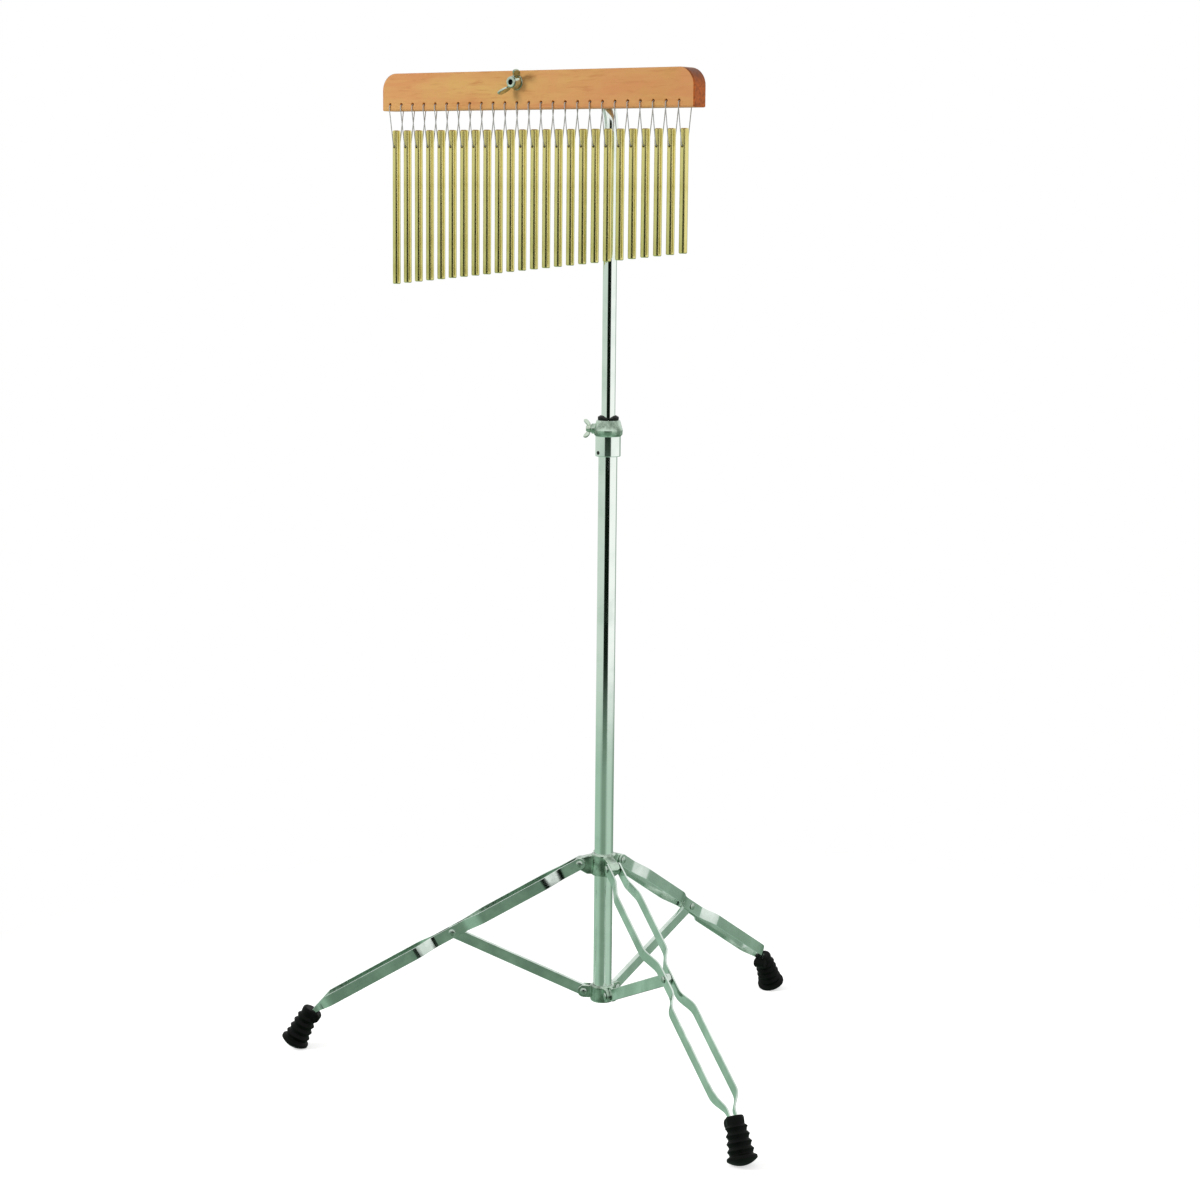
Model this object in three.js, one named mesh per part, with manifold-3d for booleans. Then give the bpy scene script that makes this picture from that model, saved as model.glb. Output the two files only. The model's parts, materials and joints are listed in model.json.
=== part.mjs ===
// Bar chimes on a folding tripod stand, in millimetres, with +Z up.
// It is built about the stand's tube, and at the end the origin moves under the middle of the
// whole object. The row of chimes runs along X, longest at -X, and its front faces -Y.
import * as THREE from 'three';
import { mergeVertices } from 'three/addons/utils/BufferGeometryUtils.js';
import Module from 'manifold-3d';

const wasm = await Module();
wasm.setup();

// Fits
const GAP = 0.3;
const TURNING_GAP = 0.35;

// Chimes
const CHIME_COUNT = 25;
const CHIME_DIAMETER = 9.5;
const CHIME_PITCH = 17.5;
const CHIME_LONGEST = 183;
const CHIME_SHORTEST = 138;
const CHIME_CHAMFER = 0.9;
const CHIME_HOLE_DIAMETER = 3;
const CHIME_HOLE_BELOW_TOP = 19.5;
const CHIME_TOP_BELOW_BAR = 22.5;
const CHIME_SIDES = 12;

// Wooden bar
const BAR_HEIGHT = 44;
const BAR_THICKNESS = 23.4;
const BAR_CORNER_RADIUS = 20;
const BAR_EDGE_BEVEL = 1.2;
const LONG_END_MARGIN = 12;
const SHORT_END_MARGIN = 20;
const CORD_HOLE_DIAMETER = 3.4;
const CORD_HOLE_ABOVE_BOTTOM = 7.5;
const CORD_HOLE_SIDES = 6;

// Hanging cord
const CORD_DIAMETER = 1.1;
const CORD_SIDES = 6;
const CORD_RUN_BELOW_HOLE = 1.6;
const CORD_KNOT_DIAMETER = 4;

// Bolt, washer and wing nut of the bar
const BOLT_DIAMETER = 6;
const BOLT_HEAD_DIAMETER = 14;
const BOLT_HEAD_HEIGHT = 3.5;
const BOLT_ABOVE_BAR_BOTTOM = 30.5;
const BOLT_OVER_CHIME = 12;
const WASHER_DIAMETER = 18;
const WASHER_THICKNESS = 1.4;
const WING_NUT_HUB_DIAMETER = 17;
const WING_NUT_HUB_LENGTH = 10;
const WING_NUT_SPAN = 38;
const WING_NUT_HEIGHT = 19;
const WING_NUT_TURN = 47;
const BOLT_PAST_NUT = 1.5;
const BOLT_POINT = 1;

// Upper tube with its side arm
const ARM_HEIGHT = 1158;
const ARM_REACH = 111;
const ARM_PAST_BOLT = 15;
const ARM_BEND_RADIUS = 48;
const ARM_BEND_STEPS = 8;
const UPPER_TUBE_DIAMETER = 16;
const UPPER_TUBE_WALL = 1.2;
const UPPER_TUBE_HIDDEN_LENGTH = 388;
const SADDLE_DIAMETER = 22;
const SADDLE_WEB = 1.5;
const SADDLE_GRIP = 4.5;

// Lower tube
const LOWER_TUBE_DIAMETER = 22;
const LOWER_TUBE_WALL = 1.2;
const LOWER_TUBE_TOP = 754;
const LOWER_TUBE_BOTTOM = 80;

// Height clamp with its sleeve, head, bushing and wing bolt
const CLAMP_SLEEVE_DIAMETER = 29.5;
const CLAMP_SLEEVE_BOTTOM = 731;
const CLAMP_HEAD_DIAMETER = 34;
const CLAMP_HEAD_BOTTOM = 756;
const CLAMP_TOP = 773;
const CLAMP_SLEEVE_EDGE = 1;
const CLAMP_SHOULDER = 2;
const CLAMP_NECK_DIAMETER = 27;
const CLAMP_BOSS_DIAMETER = 12;
const CLAMP_BOSS_REACH = 19.5;
const CLAMP_BOSS_ANGLE = 210;
const CLAMP_WINGS_TURN = 12;
const BUSHING_DIAMETER = 21;
const BUSHING_RIM_DIAMETER = 24.5;
const BUSHING_RIM_HEIGHT = 5;
const BUSHING_LIP = 1.2;
const BUSHING_SLIT = 2.4;
const BUSHING_SLIT_ANGLE = -54;

// Wing bolts of the clamp and the leg collar
const WING_BOLT_DIAMETER = 6;
const WING_BOLT_HUB_DIAMETER = 9;
const WING_BOLT_HUB_LENGTH = 6;
const WING_BOLT_SPAN = 22;
const WING_BOLT_HEIGHT = 9;
const WING_THICKNESS = 2.6;

// Sliding leg collar
const COLLAR_DIAMETER = 29;
const COLLAR_BELOW_PIVOT = 13.2;
const COLLAR_ABOVE_PIVOT = 12.8;
const COLLAR_EDGE = 1.5;
const COLLAR_LUG_WIDTH = 12.4;
const COLLAR_LUG_ROUND = 14;
const COLLAR_LUG_FOOT = 5;
const COLLAR_LUG_ABOVE_BOTTOM = 1;
const COLLAR_LUG_BELOW_TOP = 2;
const COLLAR_SCREW_ANGLE = 150;
const COLLAR_BOSS_DIAMETER = 12;
const COLLAR_BOSS_REACH = 19;

// Fixed bracket at the foot of the tube
const BRACKET_DIAMETER = 29;
const BRACKET_TOP = 96;
const BRACKET_FLOOR = 4;
const BRACKET_FOOT_EDGE = 3;
const BRACKET_TOP_EDGE = 1.5;
const FORK_CHEEK = 3;
const FORK_HEIGHT = 15;

// Legs, each of two flat strips
const LEG_NAMES = ['right', 'back', 'left'];
const LEG_FIRST_ANGLE = -30;
const LEG_SLOPE = 30.7;
const FOLDED_LEG_SLOPE = 82;
const LEG_PIVOT_RADIUS = 28;
const STRIP_WIDTH = 13.6;
const STRIP_THICKNESS = 2;
const STRIP_WIDE_OFFSET = 14.5;
const STRIP_END_OFFSET = 4.2;
const STRIP_TOP_STRAIGHT = 25.6;
const STRIP_UPPER_BEND = 47.6;
const STRIP_UPPER_WIDE_END = 137.6;
const STRIP_LOWER_BEND = 224.6;
const STRIP_LOWER_WIDE_END = 353.6;
const STRIP_BOTTOM_STRAIGHT = 370.6;
const STRIP_NOSE = 379.6;
const STRIP_LENGTH = 385.6;
const WAIST_BEFORE_PIVOT = 19;
const WAIST_AFTER_PIVOT = 27;

// Braces
const MID_PIVOT_ALONG_LEG = 178.6;
const BRACE_PIVOT_RADIUS = 22;
const BRACE_PIVOT_HEIGHT = 88;
const BRACE_HEIGHT = 13.5;
const BRACE_WIDTH = 5.4;
const BRACE_WALL = 1.3;
const BRACE_SOLID_END = 16;

// Rivets
const RIVET_DIAMETER = 5;
const RIVET_HEAD_DIAMETER = 8.5;
const RIVET_HEAD_HEIGHT = 1.7;
const RIVET_SIDES = 10;
const RIVET_WAY_STEPS = 20;
const RIVET_WAY_ARC_STEPS = 6;

// Rubber feet
const FOOT_HEIGHT_OF_BASE = 8;
const FOOT_LEAN = 27;
const FOOT_BASE_DIAMETER = 33;
const FOOT_FLANGE = 0.8;
const FOOT_FLANGE_HEIGHT = 3;
const FOOT_SHOULDER_DIAMETER = 25;
const FOOT_SHOULDER_HEIGHT = 36;
const FOOT_RIBS = 4;
const FOOT_RIB_DEPTH = 2.4;
const FOOT_NECK_DIAMETER = 19.4;
const FOOT_NECK_TOP = 47.3;
const FOOT_SOLE_DEPTH = 6.5;
const FOOT_POCKET_DIAMETER = 13;
const FOOT_POCKET_WIDTH = 16;
const FOOT_POCKET_HEIGHT = 40;
const FOOT_POCKET_OFFSET = 8.2;
const FOOT_NECK_EDGE = 1.5;
const LEG_END_BELOW_NECK_TOP = 2.3;
const LEG_END_PAST_NECK = 4.5;
const FOOT_SIDES = 16;
const FOOT_SOLE_STEPS = 4;

// Sides of the round stand parts
const TUBE_SIDES = 20;
const SMALL_SIDES = 14;

const radians = THREE.MathUtils.degToRad;
const point2 = (x, y) => new THREE.Vector2(x, y);
const point3 = (x, y, z) => new THREE.Vector3(x, y, z);

// Materials
function finish(color, roughness, metalness) {
  return new THREE.MeshStandardMaterial({ color, roughness, metalness });
}
const chrome = () => finish(0xc9d2cb, 0.12, 1.0);
const gold = () => finish(0xd8b95a, 0.18, 1.0);
const wood = () => finish(0xd09c5e, 0.5, 0.0);
const nylon = () => finish(0xd9dcd8, 0.45, 0.0);
const blackPlastic = () => finish(0x161816, 0.5, 0.0);
const blackRubber = () => finish(0x0c0d0c, 0.85, 0.0);

// Makes a closed mesh into a solid: its shared corners are merged and its faces point out
function solidOf(geometry) {
  const bare = geometry.clone();
  bare.deleteAttribute('normal');
  bare.deleteAttribute('uv');
  const merged = mergeVertices(bare, 1e-4);
  const corners = merged.attributes.position;
  const [a, b, c] = [point3(0, 0, 0), point3(0, 0, 0), point3(0, 0, 0)];
  const faces = [];
  let volume = 0;
  for (let i = 0; i < merged.index.count; i += 3) {
    const [p, q, r] = [0, 1, 2].map((k) => merged.index.getX(i + k));
    if (p === q || q === r || r === p) continue;
    a.fromBufferAttribute(corners, p);
    b.fromBufferAttribute(corners, q);
    c.fromBufferAttribute(corners, r);
    volume += a.dot(b.cross(c));
    faces.push([p, q, r]);
  }
  const triVerts = Uint32Array.from(faces.flatMap(([p, q, r]) => (volume > 0 ? [p, q, r] : [p, r, q])));
  const vertProperties = Float32Array.from(corners.array);
  return new wasm.Manifold(new wasm.Mesh({ numProp: 3, vertProperties, triVerts }));
}

function geometryOf(solid) {
  const mesh = solid.getMesh();
  const geometry = new THREE.BufferGeometry();
  geometry.setAttribute('position', new THREE.BufferAttribute(mesh.vertProperties, mesh.numProp));
  geometry.setIndex(new THREE.BufferAttribute(mesh.triVerts, 1));
  return geometry;
}

const joined = (...geometries) => geometries.map(solidOf).reduce((all, next) => all.add(next));
const without = (solid, ...cutters) => cutters.reduce((left, cutter) => left.subtract(solidOf(cutter)), solid);

function addPiece(group, name, solid, material) {
  const mesh = new THREE.Mesh(geometryOf(solid), material);
  mesh.name = name;
  group.add(mesh);
  return mesh;
}

// A turned shape about Z, from [radius, height] pairs
function turned(pairs, sides) {
  const geometry = new THREE.LatheGeometry(pairs.map(([r, z]) => point2(r, z)), sides);
  return geometry.rotateX(Math.PI / 2);
}

// A round pin about Z from one height to another
function pinZ(diameter, from, to, sides) {
  const pin = new THREE.CylinderGeometry(diameter / 2, diameter / 2, to - from, sides);
  return pin.rotateX(Math.PI / 2).translate(0, 0, (from + to) / 2);
}

// A ring about Z with a straight bore
function ringZ(outside, bore, from, to, sides) {
  const [r, b] = [outside / 2, bore / 2];
  return turned([[b, from], [r, from], [r, to], [b, to], [b, from]], sides);
}

function box(x0, x1, y0, y1, z0, z1) {
  const geometry = new THREE.BoxGeometry(x1 - x0, y1 - y0, z1 - z0);
  return geometry.translate((x0 + x1) / 2, (y0 + y1) / 2, (z0 + z1) / 2);
}

// An outline in X and Z, extruded along Y from one place to another
function plateXZ(shape, from, to, curveSegments = 5) {
  const geometry = new THREE.ExtrudeGeometry(shape, { depth: to - from, bevelEnabled: false, curveSegments });
  return geometry.rotateX(Math.PI / 2).translate(0, to, 0);
}

// An outline of two round ends about the points 0 and length on the X axis
function roundEnded(length, width) {
  const shape = new THREE.Shape();
  shape.moveTo(0, -width / 2);
  shape.lineTo(length, -width / 2);
  shape.absarc(length, 0, width / 2, -Math.PI / 2, Math.PI / 2);
  shape.lineTo(0, width / 2);
  shape.absarc(0, 0, width / 2, Math.PI / 2, Math.PI * 1.5);
  return shape;
}

// A route whose tube has one ring of corners at each of its points
class Route extends THREE.Curve {
  constructor(points) {
    super();
    this.points = points;
  }

  getPoint(t) {
    const place = t * (this.points.length - 1);
    const i = Math.min(Math.floor(place), this.points.length - 2);
    return this.points[i].clone().lerp(this.points[i + 1], place - i);
  }

  getPointAt(u) {
    return this.getPoint(u);
  }

  getTangentAt(u) {
    const last = this.points.length - 1;
    const i = Math.round(u * last);
    const here = this.points[i];
    const tangent = point3(0, 0, 0);
    if (i > 0) tangent.add(here.clone().sub(this.points[i - 1]).normalize());
    if (i < last) tangent.add(this.points[i + 1].clone().sub(here).normalize());
    return tangent.normalize();
  }
}

function alongRoute(shape, points, curveSegments) {
  const extrudePath = new Route(points);
  return new THREE.ExtrudeGeometry(shape, { extrudePath, steps: points.length - 1, curveSegments });
}

function disc(diameter) {
  const shape = new THREE.Shape();
  shape.absarc(0, 0, diameter / 2, 0, 2 * Math.PI);
  return shape;
}

// A wing head about Z, standing on its base: a tapered hub and two wings along X
function wingHead(hubDiameter, hubLength, span, height) {
  const hub = turned([
    [0, 0],
    [hubDiameter / 2, 0],
    [hubDiameter / 2, hubLength * 0.25],
    [hubDiameter * 0.36, hubLength],
    [0, hubLength],
  ], SMALL_SIDES);
  const root = hubDiameter * 0.3;
  const tip = span / 2;
  const wing = new THREE.Shape();
  wing.moveTo(root, hubLength * 0.12);
  wing.quadraticCurveTo(tip * 0.75, hubLength * 0.1, tip, height * 0.62);
  wing.quadraticCurveTo(tip * 1.01, height, tip * 0.86, height);
  wing.quadraticCurveTo(tip * 0.66, height, hubDiameter * 0.4, hubLength * 0.8);
  wing.lineTo(root, hubLength * 0.8);
  const rightWing = plateXZ(wing, -WING_THICKNESS / 2, WING_THICKNESS / 2, 4);
  const leftWing = rightWing.clone().rotateZ(Math.PI);
  return joined(hub, rightWing, leftWing);
}

// Places along the row
const barBottom = ARM_HEIGHT - BOLT_ABOVE_BAR_BOTTOM;
const barBack = -UPPER_TUBE_DIAMETER / 2 - GAP - SADDLE_WEB - GAP;
const barFront = barBack - BAR_THICKNESS;
const rowY = (barBack + barFront) / 2;
const chimeX = (i) => -ARM_REACH + (i + 1 - BOLT_OVER_CHIME) * CHIME_PITCH;
const cordHoleZ = barBottom + CORD_HOLE_ABOVE_BOTTOM;
const chimeTop = barBottom - CHIME_TOP_BELOW_BAR;
const chimeHoleZ = chimeTop - CHIME_HOLE_BELOW_TOP;

// A chime hangs on the cord through its cross hole, with its own origin at that hole
function chime(i) {
  const share = CHIME_COUNT > 1 ? i / (CHIME_COUNT - 1) : 0;
  const length = CHIME_LONGEST + (CHIME_SHORTEST - CHIME_LONGEST) * share;
  const radius = CHIME_DIAMETER / 2;
  const top = CHIME_HOLE_BELOW_TOP;
  const bottom = top - length;
  const rod = turned([
    [0, bottom],
    [radius - CHIME_CHAMFER, bottom],
    [radius, bottom + CHIME_CHAMFER],
    [radius, top - CHIME_CHAMFER],
    [radius - CHIME_CHAMFER, top],
    [0, top],
  ], CHIME_SIDES);
  const hole = new THREE.CylinderGeometry(
    CHIME_HOLE_DIAMETER / 2, CHIME_HOLE_DIAMETER / 2, 2 * CHIME_DIAMETER, CORD_HOLE_SIDES,
  );
  return without(solidOf(rod), hole);
}

// The bar has round upper corners, a hole for each chime's cord and one for the bolt
function woodBar() {
  const left = chimeX(0) - LONG_END_MARGIN;
  const right = chimeX(CHIME_COUNT - 1) + SHORT_END_MARGIN;
  const bevel = BAR_EDGE_BEVEL;
  const [x0, x1, z0, z1] = [left + bevel, right - bevel, barBottom + bevel, barBottom + BAR_HEIGHT - bevel];
  const corner = Math.min(BAR_CORNER_RADIUS, BAR_HEIGHT / 2) - bevel;
  const outline = new THREE.Shape();
  outline.moveTo(x0, z0);
  outline.lineTo(x1, z0);
  outline.lineTo(x1, z1 - corner);
  outline.absarc(x1 - corner, z1 - corner, corner, 0, Math.PI / 2);
  outline.lineTo(x0 + corner, z1);
  outline.absarc(x0 + corner, z1 - corner, corner, Math.PI / 2, Math.PI);
  const blank = new THREE.ExtrudeGeometry(outline, {
    depth: BAR_THICKNESS - 2 * bevel,
    bevelThickness: bevel,
    bevelSize: bevel,
    bevelSegments: 1,
    curveSegments: 6,
  });
  blank.rotateX(Math.PI / 2).translate(0, barBack - bevel, 0);
  const holes = [];
  for (let i = 0; i < CHIME_COUNT; i += 1) {
    const drill = new THREE.CylinderGeometry(
      CORD_HOLE_DIAMETER / 2, CORD_HOLE_DIAMETER / 2, 2 * BAR_THICKNESS, CORD_HOLE_SIDES,
    );
    holes.push(drill.translate(chimeX(i), rowY, cordHoleZ));
  }
  const boltDrill = new THREE.CylinderGeometry(
    BOLT_DIAMETER / 2 + TURNING_GAP, BOLT_DIAMETER / 2 + TURNING_GAP, 2 * BAR_THICKNESS, SMALL_SIDES,
  );
  return without(solidOf(blank), ...holes, boltDrill.translate(-ARM_REACH, rowY, ARM_HEIGHT));
}

// One long cord is laced through the bar and the chimes: out of the front of a bar hole,
// down to the chime's hole and through it, up the back, and along the back to the next hole
function hangingCord() {
  const around = (CORD_DIAMETER / 2 + GAP) * Math.SQRT2;
  const lip = cordHoleZ - CORD_HOLE_DIAMETER / 2;
  const edge = barBottom + BAR_EDGE_BEVEL;
  const chimeLip = chimeHoleZ + CHIME_HOLE_DIAMETER / 2 * Math.cos(Math.PI / CORD_HOLE_SIDES);
  const chimeSide = CHIME_DIAMETER / 2;
  const front = barFront - around;
  const back = barBack + around;
  const run = lip - CORD_RUN_BELOW_HOLE;
  const points = [];
  for (let i = 0; i < CHIME_COUNT; i += 1) {
    const x = chimeX(i);
    points.push(
      point3(x, back, lip),
      point3(x, barBack, lip + around),
      point3(x, barFront, lip + around),
      point3(x, front, lip),
      point3(x, front, edge),
      point3(x, rowY - chimeSide - around, chimeLip),
      point3(x, rowY - chimeSide, chimeLip - around),
      point3(x, rowY + chimeSide, chimeLip - around),
      point3(x, rowY + chimeSide + around, chimeLip),
      point3(x, back, edge),
      point3(x, back, run),
    );
    if (i < CHIME_COUNT - 1) points.push(point3(x + CHIME_PITCH, back, run));
  }
  const ends = [points[0], points[points.length - 1]];
  const knots = ends.map((end) => {
    const knot = new THREE.SphereGeometry(CORD_KNOT_DIAMETER / 2, 8, 6);
    const out = CORD_KNOT_DIAMETER / 2 + GAP - around;
    return knot.translate(end.x, end.y + out, end.z);
  });
  return joined(alongRoute(disc(CORD_DIAMETER), points, CORD_SIDES / 2), ...knots);
}

// The row and its bar hang on one group, so that the whole row tilts about the bolt
const part = new THREE.Group();
const row = new THREE.Group();
part.add(row);
for (let i = 0; i < CHIME_COUNT; i += 1) {
  const rod = addPiece(row, `chime_${String(i + 1).padStart(2, '0')}`, chime(i), gold());
  rod.position.set(chimeX(i), rowY, chimeHoleZ);
}
addPiece(row, 'wood_bar', woodBar(), wood());
addPiece(row, 'hanging_cord', hangingCord(), nylon());

// The bolt, washer and wing nut lie along -Y, so they are made along Z and turned once
const boltGroup = new THREE.Group();
boltGroup.position.set(-ARM_REACH, 0, ARM_HEIGHT);
boltGroup.rotation.x = Math.PI / 2;
part.add(boltGroup);

const washerFrom = -barFront + GAP;
const nutFrom = washerFrom + WASHER_THICKNESS + GAP;
const boltEnd = nutFrom + WING_NUT_HUB_LENGTH + BOLT_PAST_NUT;

function bolt() {
  const headFrom = -UPPER_TUBE_DIAMETER / 2 - GAP - BOLT_HEAD_HEIGHT;
  const radius = BOLT_DIAMETER / 2;
  const head = BOLT_HEAD_DIAMETER / 2;
  return solidOf(turned([
    [0, headFrom],
    [head * 0.7, headFrom + BOLT_HEAD_HEIGHT * 0.2],
    [head, headFrom + BOLT_HEAD_HEIGHT * 0.7],
    [head, headFrom + BOLT_HEAD_HEIGHT],
    [radius, headFrom + BOLT_HEAD_HEIGHT],
    [radius, boltEnd - BOLT_POINT],
    [radius - BOLT_POINT, boltEnd],
    [0, boltEnd],
  ], SMALL_SIDES));
}

function wingNut() {
  const head = wingHead(WING_NUT_HUB_DIAMETER, WING_NUT_HUB_LENGTH, WING_NUT_SPAN, WING_NUT_HEIGHT);
  const bore = pinZ(BOLT_DIAMETER + 2 * GAP, -WING_NUT_HEIGHT, 2 * WING_NUT_HEIGHT, SMALL_SIDES);
  return without(head, bore);
}

addPiece(boltGroup, 'bar_bolt', bolt(), chrome());
const washerBore = BOLT_DIAMETER + 2 * GAP;
const washer = ringZ(WASHER_DIAMETER, washerBore, washerFrom, washerFrom + WASHER_THICKNESS, TUBE_SIDES);
addPiece(boltGroup, 'bar_washer', solidOf(washer), chrome());
const nut = addPiece(boltGroup, 'bar_wing_nut', wingNut(), chrome());
nut.position.z = nutFrom;
nut.rotation.z = radians(WING_NUT_TURN);

// The upper tube rises from inside the lower one and bends to -X into the bar's arm
function upperTube() {
  const from = LOWER_TUBE_TOP - UPPER_TUBE_HIDDEN_LENGTH;
  const points = [point3(0, 0, from)];
  for (let k = 0; k <= ARM_BEND_STEPS; k += 1) {
    const turn = k / ARM_BEND_STEPS * Math.PI / 2;
    points.push(point3(
      -ARM_BEND_RADIUS * (1 - Math.cos(turn)),
      0,
      ARM_HEIGHT - ARM_BEND_RADIUS * (1 - Math.sin(turn)),
    ));
  }
  points.push(point3(-ARM_REACH - ARM_PAST_BOLT, 0, ARM_HEIGHT));
  const section = disc(UPPER_TUBE_DIAMETER);
  const bore = new THREE.Path();
  bore.absarc(0, 0, UPPER_TUBE_DIAMETER / 2 - UPPER_TUBE_WALL, 0, 2 * Math.PI);
  section.holes.push(bore);
  const boltDrill = new THREE.CylinderGeometry(
    BOLT_DIAMETER / 2 + GAP, BOLT_DIAMETER / 2 + GAP, 2 * UPPER_TUBE_DIAMETER, SMALL_SIDES,
  );
  return without(
    solidOf(alongRoute(section, points, TUBE_SIDES / 2)),
    boltDrill.translate(-ARM_REACH, 0, ARM_HEIGHT),
  );
}

// A plastic saddle grips the round arm at one side and gives the bar a flat seat at the other
function armSaddle() {
  const from = barBack + GAP;
  const to = -UPPER_TUBE_DIAMETER / 2 + SADDLE_GRIP;
  const block = pinZ(SADDLE_DIAMETER, -to, -from, TUBE_SIDES).rotateX(Math.PI / 2);
  const arm = pinZ(UPPER_TUBE_DIAMETER + 2 * GAP, -SADDLE_DIAMETER, SADDLE_DIAMETER, TUBE_SIDES);
  const boltDrill = new THREE.CylinderGeometry(
    BOLT_DIAMETER / 2 + GAP, BOLT_DIAMETER / 2 + GAP, 2 * SADDLE_DIAMETER, SMALL_SIDES,
  );
  const saddle = without(solidOf(block), arm.rotateY(Math.PI / 2), boltDrill);
  return saddle.translate([-ARM_REACH, 0, ARM_HEIGHT]);
}

addPiece(part, 'upper_tube', upperTube(), chrome());
addPiece(part, 'arm_saddle', armSaddle(), blackPlastic());

// The lower tube is open at its top, where the upper tube slides in
const lowerTubeBore = LOWER_TUBE_DIAMETER - 2 * LOWER_TUBE_WALL;
const lowerTube = ringZ(LOWER_TUBE_DIAMETER, lowerTubeBore, LOWER_TUBE_BOTTOM, LOWER_TUBE_TOP, TUBE_SIDES);
addPiece(part, 'lower_tube', solidOf(lowerTube), chrome());

// A boss that stands out of a round body, with its threaded hole, made along +X
function bossX(diameter, reach, centreZ) {
  return pinZ(diameter, 0, reach, SMALL_SIDES).rotateY(Math.PI / 2).translate(0, 0, centreZ);
}

// The clamp's sleeve is fixed on the lower tube, and its head holds the nylon bushing
const clampBore = LOWER_TUBE_DIAMETER + 2 * GAP;
const bushingBore = BUSHING_DIAMETER + 2 * GAP;
const clampScrewZ = CLAMP_HEAD_BOTTOM + (CLAMP_TOP - CLAMP_HEAD_BOTTOM) * 0.4;

function heightClamp() {
  const sleeve = CLAMP_SLEEVE_DIAMETER / 2;
  const head = CLAMP_HEAD_DIAMETER / 2;
  const neck = CLAMP_NECK_DIAMETER / 2;
  const headHeight = CLAMP_TOP - CLAMP_HEAD_BOTTOM;
  const body = turned([
    [0, CLAMP_SLEEVE_BOTTOM],
    [sleeve - CLAMP_SLEEVE_EDGE, CLAMP_SLEEVE_BOTTOM],
    [sleeve, CLAMP_SLEEVE_BOTTOM + CLAMP_SLEEVE_EDGE],
    [sleeve, CLAMP_HEAD_BOTTOM - CLAMP_SHOULDER],
    [head, CLAMP_HEAD_BOTTOM],
    [head, CLAMP_HEAD_BOTTOM + headHeight * 0.5],
    [neck, CLAMP_TOP],
    [0, CLAMP_TOP],
  ], TUBE_SIDES);
  const boss = bossX(CLAMP_BOSS_DIAMETER, CLAMP_BOSS_REACH, clampScrewZ).rotateZ(radians(CLAMP_BOSS_ANGLE));
  const thread = bossX(WING_BOLT_DIAMETER + 2 * GAP, 2 * CLAMP_BOSS_REACH, clampScrewZ);
  return without(
    joined(body, boss),
    pinZ(clampBore, CLAMP_SLEEVE_BOTTOM - 1, LOWER_TUBE_TOP + GAP, TUBE_SIDES),
    pinZ(bushingBore, LOWER_TUBE_TOP, CLAMP_TOP + 1, TUBE_SIDES),
    thread.rotateZ(radians(CLAMP_BOSS_ANGLE)),
  );
}

// The bushing lines the clamp's head, and its rim shows as the dark ring on top
function bushing() {
  const [bore, body, rim] = [UPPER_TUBE_DIAMETER / 2 + GAP, BUSHING_DIAMETER / 2, BUSHING_RIM_DIAMETER / 2];
  const bottom = LOWER_TUBE_TOP + 2 * GAP;
  const seat = CLAMP_TOP + GAP;
  const top = seat + BUSHING_RIM_HEIGHT;
  const sleeve = turned([
    [bore, bottom],
    [body, bottom],
    [body, seat],
    [rim, seat],
    [rim, top - BUSHING_RIM_HEIGHT * 0.3],
    [bore + BUSHING_LIP, top],
    [bore, top],
    [bore, bottom],
  ], TUBE_SIDES);
  const slit = box(0, rim + 1, -BUSHING_SLIT / 2, BUSHING_SLIT / 2, bottom - 1, top + 1);
  return without(solidOf(sleeve), slit.rotateZ(radians(BUSHING_SLIT_ANGLE)));
}

// A wing bolt about Z: its shank reaches down from the hub's base
function wingBolt(shankLength) {
  const head = wingHead(WING_BOLT_HUB_DIAMETER, WING_BOLT_HUB_LENGTH, WING_BOLT_SPAN, WING_BOLT_HEIGHT);
  return head.add(solidOf(pinZ(WING_BOLT_DIAMETER, -shankLength, WING_BOLT_HUB_LENGTH / 2, SMALL_SIDES)));
}

// Sets a wing bolt on a boss: pointing out at an angle, its tip just short of what it presses
function placeWingBolt(group, name, angle, boss, pressedRadius, height, turn) {
  const holder = new THREE.Group();
  holder.rotation.z = radians(angle);
  const tilt = new THREE.Group();
  tilt.position.set(boss + GAP, 0, height);
  tilt.rotation.y = Math.PI / 2;
  holder.add(tilt);
  const shank = boss + GAP - pressedRadius - GAP;
  const mesh = addPiece(tilt, name, wingBolt(shank), chrome());
  mesh.rotation.z = radians(turn);
  group.add(holder);
}

addPiece(part, 'height_clamp', heightClamp(), chrome());
addPiece(part, 'height_bushing', bushing(), blackPlastic());
placeWingBolt(
  part, 'clamp_wing_bolt', CLAMP_BOSS_ANGLE, CLAMP_BOSS_REACH, BUSHING_DIAMETER / 2, clampScrewZ, CLAMP_WINGS_TURN,
);

// The legs are evenly spread, and each is made in the X and Z plane of its own group. A leg rises
// from its end in the neck of its foot, so its slope and length set the height of its top pivot.
const legAngle = (k) => LEG_FIRST_ANGLE + k * 360 / LEG_NAMES.length;
const legSlope = radians(LEG_SLOPE);
const lean = radians(FOOT_LEAN);
const legEndHeight = FOOT_HEIGHT_OF_BASE + FOOT_NECK_TOP * Math.cos(lean) - LEG_END_BELOW_NECK_TOP;
const legPivotHeight = legEndHeight + STRIP_LENGTH * Math.sin(legSlope);
const legEndRadius = LEG_PIVOT_RADIUS + STRIP_LENGTH * Math.cos(legSlope);
const footRadius = legEndRadius - LEG_END_PAST_NECK + FOOT_NECK_TOP * Math.sin(lean);

// The collar slides on the tube and has a lug between the two strips of each leg
const collarBore = LOWER_TUBE_DIAMETER + 2 * GAP;
const collarBottom = legPivotHeight - COLLAR_BELOW_PIVOT;
const collarTop = legPivotHeight + COLLAR_ABOVE_PIVOT;
const collarScrewZ = (collarBottom + collarTop) / 2;

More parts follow.
